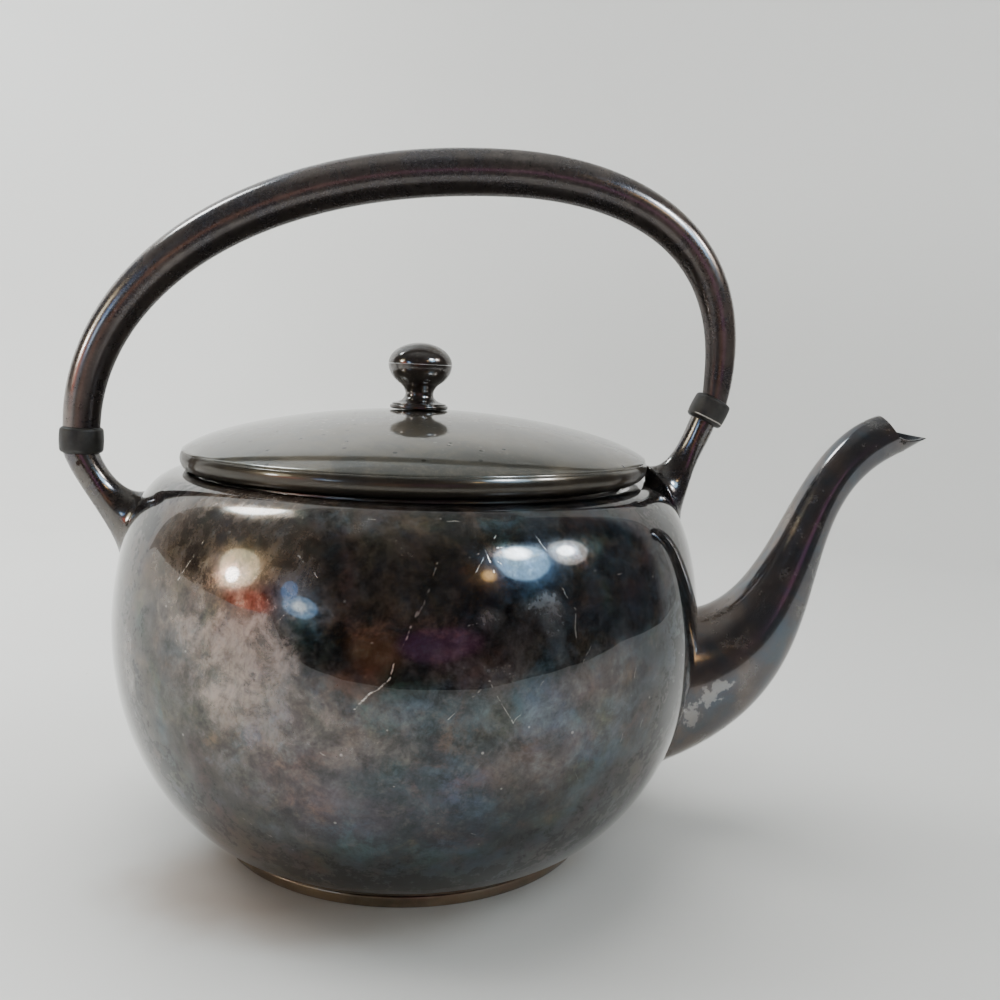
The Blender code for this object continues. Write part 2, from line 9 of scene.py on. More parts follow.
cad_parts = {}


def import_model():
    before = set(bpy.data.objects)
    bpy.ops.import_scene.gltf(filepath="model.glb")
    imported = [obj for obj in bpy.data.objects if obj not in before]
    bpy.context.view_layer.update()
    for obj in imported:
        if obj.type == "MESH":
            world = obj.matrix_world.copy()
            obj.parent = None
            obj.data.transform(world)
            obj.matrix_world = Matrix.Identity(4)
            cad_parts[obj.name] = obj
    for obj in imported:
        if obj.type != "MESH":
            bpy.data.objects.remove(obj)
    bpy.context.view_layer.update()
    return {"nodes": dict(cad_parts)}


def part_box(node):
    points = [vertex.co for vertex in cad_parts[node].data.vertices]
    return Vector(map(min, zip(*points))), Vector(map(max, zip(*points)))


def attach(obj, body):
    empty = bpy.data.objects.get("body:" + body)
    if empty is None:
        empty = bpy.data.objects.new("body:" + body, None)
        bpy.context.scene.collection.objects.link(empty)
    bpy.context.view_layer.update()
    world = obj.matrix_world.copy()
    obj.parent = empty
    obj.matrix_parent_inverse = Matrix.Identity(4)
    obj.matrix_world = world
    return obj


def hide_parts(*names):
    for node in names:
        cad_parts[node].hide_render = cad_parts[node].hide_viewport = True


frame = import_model()
MM = 0.001
BODY_LOW, BODY_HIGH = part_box("body_shell")
AXIS_X = (BODY_LOW.x + BODY_HIGH.x) / 2
AXIS = np.array([AXIS_X, 0.0, 0.0])
SMOOTH_LIMIT = math.radians(34.0)
# Belly radius that turns an angle round the pot into a distance along its surface.
BELLY_ARC = 0.080


# ---------------------------------------------------------------- lines and skins

def bezier(points, steps):
    """Points along a cubic curve given in millimetres from the pot's axis and the ground."""
    a, b, c, d = [np.array(point, dtype=float) * MM for point in points]
    t = np.linspace(0.0, 1.0, steps)[:, None]
    return (1 - t) ** 3 * a + 3 * (1 - t) ** 2 * t * b + 3 * (1 - t) * t ** 2 * c + t ** 3 * d


def offset(line, distance):
    """A flat line moved sideways, to the left of its direction of travel."""
    along = np.gradient(line, axis=0)
    along /= np.linalg.norm(along, axis=1)[:, None]
    return line + np.stack([-along[:, 1], along[:, 0]], axis=1) * distance


def rounded(corners, radius, steps=5):
    """An open line through flat corners (mm), each inner corner turned with a small arc."""
    corners = [np.array(corner, dtype=float) for corner in corners]
    line = [corners[0]]
    for before, corner, after in zip(corners[:-2], corners[1:-1], corners[2:]):
        back = before - corner
        on = after - corner
        cut = min(radius, 0.45 * np.linalg.norm(back), 0.45 * np.linalg.norm(on))
        start = corner + back / np.linalg.norm(back) * cut
        end = corner + on / np.linalg.norm(on) * cut
        for t in np.linspace(0.0, 1.0, steps):
            line.append((1 - t) ** 2 * start + 2 * (1 - t) * t * corner + t ** 2 * end)
    line.append(corners[-1])
    return np.array(line)


def skin(name, rings, surface, loop=True, sharp=SMOOTH_LIMIT):
    """One closed body through rings of equal count; open ends are capped with a fan."""
    rings = [np.asarray(ring, dtype=float) for ring in rings]
    turns = max(len(ring) for ring in rings)
    verts = []
    starts = []
    for ring in rings:
        starts.append(len(verts))
        verts.extend(map(tuple, ring))
    faces = []
    pairs = list(zip(range(len(rings) - 1), range(1, len(rings))))
    if loop:
        pairs.append((len(rings) - 1, 0))
    for first, second in pairs:
        for index in range(turns):
            after = (index + 1) % turns
            corners = []
            for ring, spot in ((first, index), (first, after), (second, after), (second, index)):
                corner = starts[ring] + (spot if len(rings[ring]) > 1 else 0)
                if corner not in corners:
                    corners.append(corner)
            if len(corners) > 2:
                faces.append(corners)
    mesh = bpy.data.meshes.new(name)
    mesh.from_pydata(verts, [], faces)
    work = bmesh.new()
    work.from_mesh(mesh)
    bmesh.ops.recalc_face_normals(work, faces=work.faces)
    if work.calc_volume(signed=True) < 0:
        bmesh.ops.reverse_faces(work, faces=work.faces)
    work.to_mesh(mesh)
    work.free()
    mesh.materials.append(surface)
    piece = bpy.data.objects.new(name, mesh)
    bpy.context.scene.collection.objects.link(piece)
    shade(piece, sharp)
    return piece


def shade(piece, sharp=SMOOTH_LIMIT):
    piece.data.shade_smooth()
    piece.data.set_sharp_from_angle(angle=sharp)


def circle(radius, height, turns):
    if radius < 1e-7:
        return AXIS[None, :] + np.array([[0.0, 0.0, height]])
    angle = np.linspace(0.0, 2.0 * math.pi, turns, endpoint=False)
    ring = np.stack([radius * np.cos(angle), radius * np.sin(angle), np.full(turns, height)], 1)
    return ring + AXIS


def lathe(name, profile, surface, turns=192, sharp=SMOOTH_LIMIT):
    """A closed profile of (radius, height), in metres, turned about the pot's axis."""
    profile = np.asarray(profile, dtype=float)
    closed = not (profile[0][0] < 1e-7 and profile[-1][0] < 1e-7)
    return skin(name, [circle(r, z, turns) for r, z in profile], surface, closed, sharp)


def settle(piece, body, slot, *nodes):
    """The piece rides on its body and stands for CAD nodes, which are hidden; slot is not used."""
    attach(piece, body)
    if nodes:
        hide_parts(*nodes)
    return piece


# ---------------------------------------------------------------- node materials

class Graph:
    """A short way to write node trees."""

    def __init__(self, tree):
        self.tree = tree

    def node(self, kind, **settings):
        made = self.tree.nodes.new(kind)
        for key, value in settings.items():
            setattr(made, key, value)
        return made

    def put(self, socket, value):
        if isinstance(value, bpy.types.NodeSocket):
            self.tree.links.new(value, socket)
        elif value is not None:
            socket.default_value = value

    def math(self, operation, a, b=None):
        made = self.node("ShaderNodeMath", operation=operation)
        for socket, value in zip(made.inputs, (a, b)):
            self.put(socket, value)
        return made.outputs[0]

    def plus(self, a, b):
        return self.math("ADD", a, b)

    def minus(self, a, b):
        return self.math("SUBTRACT", a, b)

    def times(self, a, b):
        return self.math("MULTIPLY", a, b)

    def larger(self, a, b):
        return self.math("MAXIMUM", a, b)

    def dot(self, a, b):
        return self.vector("DOT_PRODUCT", a, b)

    def vector(self, operation, a, b=None, scale=None):
        made = self.node("ShaderNodeVectorMath", operation=operation)
        self.put(made.inputs[0], a)
        if b is not None:
            self.put(made.inputs[1], b)
        if scale is not None:
            self.put(made.inputs["Scale"], scale)
        return made.outputs["Value" if operation in ("DOT_PRODUCT", "LENGTH") else "Vector"]

    def mix(self, share, a, b):
        made = self.node("ShaderNodeMix", data_type="RGBA")
        self.put(made.inputs[0], share)
        self.put(made.inputs[6], a)
        self.put(made.inputs[7], b)
        return made.outputs[2]

    def noise(self, place, scale, detail=4.0, rough=0.55, warp=0.0, colour=False):
        made = self.node("ShaderNodeTexNoise")
        self.put(made.inputs["Vector"], place)
        self.put(made.inputs["Scale"], scale)
        self.put(made.inputs["Detail"], detail)
        self.put(made.inputs["Roughness"], rough)
        self.put(made.inputs["Distortion"], warp)
        return made.outputs["Color" if colour else "Fac"]

    def step(self, value, low, high, top=1.0, bottom=0.0):
        """Smooth rise from bottom to top as value goes from low to high."""
        made = self.node("ShaderNodeMapRange", interpolation_type="SMOOTHSTEP")
        self.put(made.inputs["Value"], value)
        for key, number in (("From Min", low), ("From Max", high),
                            ("To Min", bottom), ("To Max", top)):
            self.put(made.inputs[key], number)
        return made.outputs["Result"]

    def stretch(self, place, turn, scale):
        """The place turned, then scaled unevenly."""
        made = self.node("ShaderNodeMapping", vector_type="TEXTURE")
        self.put(made.inputs["Vector"], place)
        made.inputs["Rotation"].default_value = turn
        made.inputs["Scale"].default_value = scale
        return made.outputs["Vector"]

    def combine(self, x, y, z):
        made = self.node("ShaderNodeCombineXYZ")
        for socket, value in zip(made.inputs, (x, y, z)):
            self.put(socket, value)
        return made.outputs[0]


def rgb(*values):
    return (*values, 1.0)


def new_material(name):
    made = bpy.data.materials.new(name)
    made.use_nodes = True
    graph = Graph(made.node_tree)
    shader = made.node_tree.nodes["Principled BSDF"]
    place = graph.node("ShaderNodeTexCoord").outputs["Object"]
    return made, graph, shader, place


def around(graph, place):
    """Distance round the belly from its front, and height, both in metres; 0 near the back seam."""
    split = graph.node("ShaderNodeSeparateXYZ")
    graph.put(split.inputs[0], place)
    across = graph.minus(split.outputs[0], AXIS_X)
    angle = graph.math("ARCTAN2", across, graph.times(split.outputs[1], -1.0))
    seam = graph.step(graph.math("ABSOLUTE", angle), 2.9, 2.5)
    return graph.times(angle, BELLY_ARC), split.outputs[2], seam


def strokes(graph, flat, turn, wide, long, low, high, seed):
    """Soft rubbed strokes lying one way across the flat coordinates."""
    moved = graph.vector("ADD", flat, (seed, seed * 0.37, seed * 0.11))
    laid = graph.stretch(moved, (0.0, 0.0, math.radians(turn)), (wide, long, 1.0))
    return graph.step(graph.noise(laid, 1.0, 3.0, 0.6, 0.15), low, high)


def hairlines(graph, flat, seed, turns):
    """Very fine long scratches lying several ways: 0 nowhere, 1 along a scratch."""
    total = None
    for index, turn in enumerate(turns):
        line = strokes(graph, flat, turn, 0.00034, 0.016, 0.72, 0.79, seed + 0.7 * index)
        moved = graph.vector("ADD", flat, (0.4 * index + seed, 0.9 * index, 0.3))
        patch = graph.step(graph.noise(moved, 26.0, 2.0), 0.44, 0.66)
        line = graph.times(line, patch)
        total = line if total is None else graph.larger(total, line)
    return total


def scratch(graph, place, start, end, width, wobble):
    """One scratch between two points of the surface: 1 along it, 0 elsewhere."""
    start = np.array(start)
    end = np.array(end)
    way = end - start
    length = float(np.linalg.norm(way))
    way = way / length
    rel = graph.vector("SUBTRACT", graph.vector("ADD", place, wobble), tuple(start))
    run = graph.dot(rel, tuple(way))
    held = graph.math("MINIMUM", graph.larger(run, 0.0), length)
    near = graph.vector("SCALE", tuple(way), scale=held)
    away = graph.vector("LENGTH", graph.vector("SUBTRACT", rel, near))
    return graph.step(away, width * 1.2, width * 0.3)


def patch(graph, flat, ragged, middle, half, strength, texture=None, soft=0.5):
    """A ragged soft-edged oval of the flat coordinates, brushed with a texture."""
    moved = graph.vector("SUBTRACT", flat, middle)
    moved = graph.vector("DIVIDE", moved, half)
    far = graph.plus(graph.vector("LENGTH", moved), ragged)
    mask = graph.step(far, 1.0 + soft, 1.0 - soft)
    if texture is not None:
        mask = graph.times(mask, texture)
    return graph.times(mask, strength)


def specks(graph, place, pitch, size, share, seed=0.0, kind="3D"):
    """Small round dots scattered one to a cell, in only some of the cells."""
    made = graph.node("ShaderNodeTexVoronoi", voronoi_dimensions=kind)
    graph.put(made.inputs["Vector"], graph.vector("ADD", place, (seed, seed, seed)))
    made.inputs["Scale"].default_value = 1.0 / pitch
    dot = graph.step(made.outputs["Distance"], size, size * 0.55)
    split = graph.node("ShaderNodeSeparateColor")
    graph.put(split.inputs[0], made.outputs["Color"])
    return graph.times(dot, graph.math("LESS_THAN", split.outputs[0], share))


METAL_SHARE = 0.80
FILM_TINT = (0.30, 0.28, 0.26)
DENT_DEPTH = 0.00020
CUT_DEPTH = 0.00004


def finish_silver(graph, shader, colour, rough, low_bump, bright, coat, film=1.0):
    """Metal under a thin glassy tarnish film, with dents and cut scratches."""
    graph.put(shader.inputs["Base Color"], colour)
    shader.inputs["Metallic"].default_value = METAL_SHARE
    graph.put(shader.inputs["Roughness"], rough)
    shader.inputs["Specular Tint"].default_value = rgb(*FILM_TINT)
    graph.put(shader.inputs["Coat Weight"], film)
    shader.inputs["Coat Roughness"].default_value = coat[0]
    shader.inputs["Coat IOR"].default_value = coat[1]
    low = graph.node("ShaderNodeBump")
    low.inputs["Strength"].default_value = 1.0
    low.inputs["Distance"].default_value = DENT_DEPTH
    graph.put(low.inputs["Height"], low_bump)
    cut = graph.node("ShaderNodeBump", invert=True)
    cut.inputs["Strength"].default_value = 0.6
    cut.inputs["Distance"].default_value = CUT_DEPTH
    graph.put(cut.inputs["Height"], bright)
    graph.put(cut.inputs["Normal"], low.outputs["Normal"])
    graph.put(shader.inputs["Normal"], cut.outputs["Normal"])
    graph.put(shader.inputs["Coat Normal"], low.outputs["Normal"])


WORN = rgb(0.62, 0.58, 0.54)


def tarnished(name, dark, tints, bloom, seed, amount, shine, coat,
              worn=None, cream=0.0, pits=0.0, scratches=0.22, edge=None, hub=None):
    """Tarnished silver for the smaller pieces: drifting tints, hazy bloom, scratches.

    coat is the film's roughness and index; cream and pits are the strengths of the lid's pale
    and dark dots; below the height edge, and facing the point hub, the colour is painted darker as
    painted shade and the film is thinned.
    """
    made, graph, shader, place = new_material(name)
    shifted = graph.vector("ADD", place, (seed, seed * 0.7, seed * 1.3))
    broad = graph.noise(shifted, 26.0, 3.0, 0.6, 0.3)
    middle = graph.noise(shifted, 75.0, 5.0, 0.62, 0.5)
    fine = graph.noise(shifted, 320.0, 5.0, 0.65)
    grain = graph.noise(shifted, 1400.0, 3.0, 0.6)
    colour = graph.mix(graph.step(broad, 0.38, 0.60), dark, tints[0])
    colour = graph.mix(graph.times(graph.step(middle, 0.46, 0.66), 0.8), colour, tints[1])
    hazy = graph.times(graph.step(middle, 0.56, 0.34), graph.step(fine, 0.35, 0.70))
    hazy = graph.times(hazy, amount)
    colour = graph.mix(hazy, colour, bloom)
    colour = graph.mix(graph.times(graph.step(grain, 0.50, 0.75), 0.22), colour, bloom)
    bright = graph.times(hairlines(graph, shifted, seed, (4.0, -37.0, 71.0)), scratches)
    if worn is not None:
        ragged = graph.times(graph.minus(graph.noise(
            place, 420.0, 6.0, 0.7), 0.5), 4.6)
        for spot, half in worn:
            bare = patch(graph, place, ragged, spot, half, 0.34, None, 0.08)
            bright = graph.larger(bright, bare)
    if cream > 0.0:
        near = graph.vector("LENGTH", graph.vector("SUBTRACT", place, (AXIS_X, -0.006, 0.1215)))
        dots = graph.larger(specks(graph, shifted, 0.0036, 0.17, 0.30, 0.0, "2D"),
                          specks(graph, shifted, 0.0019, 0.20, 0.22, 3.0, "2D"))
        dots = graph.times(dots, graph.step(near, 0.060, 0.014))
        dots = graph.times(dots, graph.step(graph.noise(shifted, 70.0, 3.0), 0.40, 0.62))
        bright = graph.larger(bright, graph.times(dots, cream))
    colour = graph.mix(bright, colour, WORN)
    if pits > 0.0:
        dots = specks(graph, shifted, 0.0062, 0.11, 0.35, 7.0, "2D")
        colour = graph.mix(graph.times(dots, pits), colour, rgb(0.02, 0.018, 0.015))
    rough = graph.plus(shine, graph.times(hazy, 0.30))
    rough = graph.plus(rough, graph.times(graph.step(grain, 0.45, 0.8), 0.05))
    film = 1.0
    # Painted shade: the side facing hub (the hoop's inner side) is painted darker and its film
    # thinned.
    if hub is not None:
        way = graph.vector("NORMALIZE", graph.vector("SUBTRACT", place, hub))
        normal = graph.node("ShaderNodeTexCoord").outputs["Normal"]
        facing = graph.dot(way, normal)
        under = graph.step(facing, 0.10, -0.55)
        film = graph.minus(1.0, graph.times(under, 0.65))
        colour = graph.mix(graph.times(under, 0.75), colour, rgb(0.020, 0.016, 0.017))
    # Painted shade: the lid's band below the crease height (edge) is painted darker and its film
    # thinned.
    if edge is not None:
        height = graph.node("ShaderNodeSeparateXYZ")
        graph.put(height.inputs[0], place)
        below = graph.step(height.outputs[2], edge + 0.0004, edge - 0.0003)
        film = graph.minus(1.0, graph.times(below, 0.62))
        colour = graph.mix(graph.times(below, 0.75), colour, rgb(0.042, 0.033, 0.025))
    dents = graph.noise(shifted, 34.0, 2.0, 0.45)
    finish_silver(graph, shader, colour, rough, dents, bright, coat, film)
    return made


# Bloom on the belly: degrees round from the front, height (mm), half sizes (degrees, mm),
# strength, stroke set and colour.
BLOOMS = (
    (-34, 91, 24, 13, 0.85, 0, (0.210, 0.145, 0.100)),
    (-2, 93, 16, 11, 0.50, 1, (0.095, 0.072, 0.058)),
    (34, 88, 20, 14, 0.65, 2, (0.055, 0.080, 0.112)),
    (6, 40, 26, 15, 0.55, 2, (0.050, 0.078, 0.095)),
    (38, 55, 16, 20, 0.60, 2, (0.085, 0.108, 0.130)),
    (-66, 66, 16, 26, 0.40, 0, (0.17, 0.15, 0.13)),
    (-42, 62, 10, 22, 0.40, 0, (0.24, 0.215, 0.20)),
    (-28, 70, 11, 10, 0.85, 0, (0.44, 0.345, 0.295)),
    (-24, 57, 10, 10, 0.65, 0, (0.36, 0.285, 0.25)),
    (-16, 64, 7, 7, 0.50, 1, (0.22, 0.165, 0.14)), (-7, 56, 7, 7, 0.50, 0, (0.26, 0.205, 0.18)),
    (-20, 47, 13, 9, 0.40, 1, (0.15, 0.12, 0.11)), (-56, 60, 2.2, 8, 0.80, 0, (0.50, 0.48, 0.46)),
    (-9, 68, 4, 3.5, 0.60, 1, (0.17, 0.075, 0.045)),
    (12, 81, 2.6, 3.4, 0.75, 1, (0.34, 0.31, 0.30)),
    (20, 83, 3.6, 2.6, 0.70, 2, (0.36, 0.34, 0.32)),
    (22, 62, 13, 9, 0.40, 1, (0.16, 0.16, 0.165)), (13, 70, 8, 5, 0.50, 2, (0.20, 0.15, 0.13)),
    (19, 47, 8, 7, 0.50, 1, (0.16, 0.085, 0.05)), (-12, 36, 9, 7, 0.50, 2, (0.11, 0.065, 0.085)),
    (30, 66, 6, 6, 0.50, 1, (0.15, 0.095, 0.07)), (8, 60, 6, 5, 0.50, 2, (0.06, 0.11, 0.135)),
    (23, 77, 1.9, 6.5, 0.60, 2, (0.26, 0.24, 0.24)),
    (16, 76, 3.2, 4.5, 0.50, 1, (0.20, 0.18, 0.18)),
    (150, 60, 30, 22, 0.60, 0, (0.24, 0.19, 0.16)),
    (110, 85, 22, 13, 0.60, 1, (0.13, 0.10, 0.08)),
    (-140, 50, 34, 20, 0.60, 2, (0.13, 0.145, 0.16)))


def belly_silver(name, marks):
    """The body's finish: near-black film with brown, blue and chalky blooms, rubbed all ways."""
    made, graph, shader, place = new_material(name)
    run, height, seam = around(graph, place)
    flat = graph.combine(run, height, 0.0)
    broad = graph.noise(place, 24.0, 3.0, 0.6, 0.3)
    middle = graph.noise(place, 85.0, 5.0, 0.62, 0.5)
    fine = graph.noise(place, 360.0, 5.0, 0.66)
    grain = graph.noise(place, 1500.0, 3.0, 0.6)
    cloud = graph.step(graph.noise(place, 150.0, 7.0, 0.72, 0.3), 0.36, 0.66)
    sets = []
    for low, high, ways in ((0.34, 0.66, ((3, 0.0020, 0.012), (-24, 0.0016, 0.010))),
                            (0.40, 0.66, ((38, 0.0016, 0.012), (-52, 0.0014, 0.010))),
                            (0.38, 0.66, ((-28, 0.0014, 0.014), (66, 0.0018, 0.012)))):
        pair = [strokes(graph, flat, turn, wide, long, low, high, 1.7 * len(sets) + 0.6 * k)
                for k, (turn, wide, long) in enumerate(ways)]
        rubbed = graph.larger(pair[0], pair[1])
        mottled = graph.times(cloud, graph.plus(graph.times(rubbed, 0.5), 0.5))
        sets.append(graph.plus(graph.times(mottled, 0.85), 0.15))
    colour = graph.mix(graph.step(broad, 0.38, 0.60), rgb(0.022, 0.025, 0.031),
                       rgb(0.050, 0.042, 0.037))
    right = graph.step(run, -0.060, 0.050)
    low_down = graph.step(height, 0.085, 0.045)
    moved = graph.vector("ADD", place, (0.3, 0.1, 0.7))
    earth = graph.step(graph.noise(moved, 62.0, 8.0, 0.74, 0.5), 0.47, 0.62)
    earth = graph.times(earth, graph.minus(0.80, graph.times(right, 0.35)))
    colour = graph.mix(earth, colour, rgb(0.150, 0.096, 0.064))
    moved = graph.vector("ADD", place, (0.9, 0.5, 0.2))
    water = graph.step(graph.noise(moved, 50.0, 8.0, 0.74, 0.5), 0.47, 0.62)
    water = graph.times(water, graph.plus(0.35, graph.times(graph.larger(right, low_down), 0.50)))
    colour = graph.mix(water, colour, rgb(0.046, 0.080, 0.104))
    drift = graph.noise(place, 64.0, 4.0, 0.6, 0.8, colour=True)
    colour = graph.mix(0.18, colour, graph.vector("MULTIPLY", colour, graph.vector(
        "SCALE", graph.vector("POWER", drift, (3.0, 3.0, 3.0)), scale=9.0)))
    grit = graph.step(graph.noise(place, 210.0, 9.0, 0.80, 0.2), 0.38, 0.62, 1.12, 0.14)
    colour = graph.vector("SCALE", colour, scale=grit)
    ragged = graph.times(graph.minus(middle, 0.5), 3.2)
    chalk = None
    for degrees, up, wide, tall, strength, ways, tone in BLOOMS:
        mask = patch(graph, flat, ragged, (math.radians(degrees) * BELLY_ARC, up * MM, 0.0),
                     (math.radians(wide) * BELLY_ARC, tall * MM, 1.0), strength, sets[ways])
        colour = graph.mix(mask, colour, rgb(*tone))
        weight = graph.times(mask, min(1.0, 2.2 * tone[0]))
        chalk = weight if chalk is None else graph.larger(chalk, weight)
    black = graph.step(graph.noise(place, 190.0, 6.0, 0.7, 0.4), 0.60, 0.72)
    colour = graph.mix(graph.times(black, 0.70), colour, rgb(0.022, 0.019, 0.018))
    rubs = graph.times(sets[1], sets[2])
    rubs = graph.times(graph.math("POWER", rubs, 2.0), graph.step(broad, 0.38, 0.60))
    colour = graph.mix(graph.times(rubs, 0.36), colour, rgb(0.20, 0.25, 0.28))
    colour = graph.mix(graph.times(graph.step(fine, 0.52, 0.72), 0.16), colour,
                       rgb(0.28, 0.25, 0.22))
    hair = graph.times(hairlines(graph, flat, 0.0, (2, -6, 33, -41, 78)), seam)
    bright = graph.times(hair, 0.34)
    wobble = graph.vector("SCALE", graph.vector("SUBTRACT", graph.noise(
        place, 220.0, 4.0, 0.65, colour=True), (0.5, 0.5, 0.5)), scale=0.0022)
    for start, end, width, strength in marks:
        line = graph.times(scratch(graph, place, start, end, width, wobble), strength)
        bright = graph.larger(bright, line)
    dots = specks(graph, place, 0.0052, 0.085, 0.28)
    bright = graph.larger(bright, graph.times(dots, 0.35))
    colour = graph.mix(bright, colour, WORN)
    rough = graph.plus(0.19, graph.times(chalk, 0.34))
    rough = graph.plus(rough, graph.times(graph.step(grain, 0.45, 0.8), 0.05))
    finish_silver(graph, shader, colour, rough, graph.noise(place, 34.0, 2.0, 0.45), bright,
                  (0.022, 1.44))
    return made


def collar_surface(name, crack=None):
    """Matt dark grey composition, chalky where it has dried, with a fine crack."""
    made, graph, shader, place = new_material(name)
    cloud = graph.noise(place, 260.0, 5.0, 0.6)
    grain = graph.noise(place, 1500.0, 3.0, 0.6)
    colour = graph.mix(graph.step(cloud, 0.35, 0.7), rgb(0.012, 0.011, 0.010),
                       rgb(0.036, 0.033, 0.030))
    if crack is not None:
        point, way = crack
        wobble = graph.times(graph.noise(place, 500.0, 3.0), 0.0005)
        run = graph.dot(graph.vector("SUBTRACT", place, tuple(point)), tuple(way))
        gap = graph.math("ABSOLUTE", graph.minus(run, wobble))
        line = graph.step(gap, 0.00022, 0.00010)
        line = graph.times(line, graph.step(graph.noise(place, 120.0, 2.0), 0.40, 0.5))
        colour = graph.mix(line, colour, rgb(0.45, 0.42, 0.38))
    graph.put(shader.inputs["Base Color"], colour)
    graph.put(shader.inputs["Roughness"], graph.step(cloud, 0.2, 0.8, 0.62, 0.42))
    bump = graph.node("ShaderNodeBump")
    bump.inputs["Strength"].default_value = 0.5
    bump.inputs["Distance"].default_value = 0.00012
    graph.put(bump.inputs["Height"], graph.plus(cloud, graph.times(grain, 0.3)))
    graph.put(shader.inputs["Normal"], bump.outputs["Normal"])
    return made


def brass_surface():
    made, graph, shader, place = new_material("plain_brass_worn")
    cloud = graph.noise(place, 300.0, 4.0, 0.6)
    graph.put(shader.inputs["Base Color"], graph.mix(graph.step(cloud, 0.3, 0.7),
                                                     rgb(0.26, 0.17, 0.07), rgb(0.55, 0.40, 0.18)))
    shader.inputs["Metallic"].default_value = 1.0
    graph.put(shader.inputs["Roughness"], graph.step(cloud, 0.3, 0.8, 0.5, 0.28))
    return made


def pot_point(degrees, height):
    """A point on the belly, degrees round from the front towards the spout, height in mm."""
    radius = float(np.interp(height * MM, BELLY_HEIGHTS, BELLY_RADII))
    angle = math.radians(degrees)
    return (AXIS_X + radius * math.sin(angle), -radius * math.cos(angle), height * MM)


# ---------------------------------------------------------------- body, feet, rings

def body_outline(steps):
    shoulder = bezier([(60.5, 103.3), (78.2, 108.8), (82.5, 73.6), (82.5, 62.5)], steps)
    belly = bezier([(82.5, 62.5), (82.5, 32.6), (68.2, 11.3), (54.4, 3.9)], steps)
    mouth = rounded([(58.6, 102.7), (59.4, 103.15), (60.5, 103.3)], 0.6)[:-1] * MM
    return np.vstack([mouth, shoulder, belly[1:]])


OUTLINE = body_outline(90)
CREST = int(np.argmax(OUTLINE[:, 1]))
BELLY_HEIGHTS = OUTLINE[CREST:][::-1][:, 1]
BELLY_RADII = OUTLINE[CREST:][::-1][:, 0]


def on_body(side, across, height, gap=0.0):
    radius = np.interp(height, BELLY_HEIGHTS, BELLY_RADII) + gap
    return np.array([AXIS_X + side * math.sqrt(radius ** 2 - across ** 2), across, height])


def body_shell(surface):
    base = bezier([(53.4, 3.4), (50.0, 1.8), (44.0, 4.2), (0.0, 5.6)], 30)
    outer = np.vstack([OUTLINE, base])
    outer[-1, 0] = 0.0
    inner = offset(outer, -1.0 * MM)
    inner[0] = (58.6 * MM, 101.7 * MM)
    inner[-1] = (0.0, outer[-1, 1] + 1.0 * MM)
    shell = lathe("body", np.vstack([outer[::-1], inner]), surface, 224, math.radians(50))
    strainer(shell)
    return shell


HOLE_RADIUS = 1.9
HOLE_PITCH = 7.0
HOLE_HEIGHT = 42.0
HOLE_REACH = (70.0, 95.0)


def strainer(shell):
    """Seven round holes behind the spout, cut through the wall."""
    spots = [(0.0, 0.0)]
    spots += [(HOLE_PITCH * math.cos(k * math.pi / 3), HOLE_PITCH * math.sin(k * math.pi / 3))
              for k in range(6)]
    verts = []
    faces = []
    turns = 24
    for across, rise in spots:
        start = len(verts)
        for x in HOLE_REACH:
            for k in range(turns):
                angle = 2 * math.pi * k / turns
                verts.append((AXIS_X + x * MM, (across + HOLE_RADIUS * math.cos(angle)) * MM,
                              (HOLE_HEIGHT + rise + HOLE_RADIUS * math.sin(angle)) * MM))
        faces.append([start + k for k in range(turns)][::-1])
        faces.append([start + turns + k for k in range(turns)])
        for k in range(turns):
            after = (k + 1) % turns
            faces.append([start + k, start + after, start + turns + after, start + turns + k])
    mesh = bpy.data.meshes.new("cutter")
    mesh.from_pydata(verts, [], faces)
    cutter = bpy.data.objects.new("cutter", mesh)
    bpy.context.scene.collection.objects.link(cutter)
    change = shell.modifiers.new("holes", "BOOLEAN")
    change.operation = "DIFFERENCE"
    change.solver = "EXACT"
    change.object = cutter
    bpy.context.view_layer.update()
    graph = bpy.context.evaluated_depsgraph_get()
    result = bpy.data.meshes.new_from_object(shell.evaluated_get(graph))
    shell.modifiers.remove(change)
    shell.data = result
    bpy.data.objects.remove(cutter, do_unlink=True)


def foot_ring(surface):
    profile = rounded([(50.2, 1.4), (50.2, 0.0), (53.2, 0.0), (53.9, 1.5), (54.3, 3.5),
                       (52.0, 2.95), (50.5, 2.6), (50.2, 1.4)], 0.5)[:-1]
    return lathe("foot", profile * MM, surface, 192)


def ring(name, inner, outer, bottom, top, surface):
    profile = rounded([(inner, (bottom + top) / 2), (inner, bottom), (outer, bottom), (outer, top),
                       (inner, top), (inner, (bottom + top) / 2)], 0.35)[:-1]
    return lathe(name, profile * MM, surface, 160)


# ---------------------------------------------------------------- lid

def lid_dome(surface):
    """Low dome to a crisp crease, then a rolled band that turns in under the edge."""
    dome = bezier([(1.85, 121.6), (24.7, 121.6), (56.0, 116.7), (64.75, 110.0)], 90)
    crease = np.array([(64.85, 109.75), (64.7, 109.6), (64.7, 109.45)]) * MM
    band = bezier([(64.85, 109.35), (65.9, 107.6), (65.4, 104.9), (62.6, 104.15)], 36)
    lip = rounded([(62.6, 104.15), (58.4, 103.95), (57.2, 103.9), (56.9, 104.3)], 0.5)[1:] * MM
    outer = np.vstack([dome, crease, band, lip])
    under = np.vstack([bezier([(57.6, 104.8), (61.8, 104.9), (64.5, 105.8), (64.1, 108.0)], 16),
                       bezier([(63.9, 109.3), (55.4, 115.7), (24.7, 120.7), (1.85, 120.7)], 60)])
    return lathe("lid", np.vstack([outer, under]), surface, 224, math.radians(46))


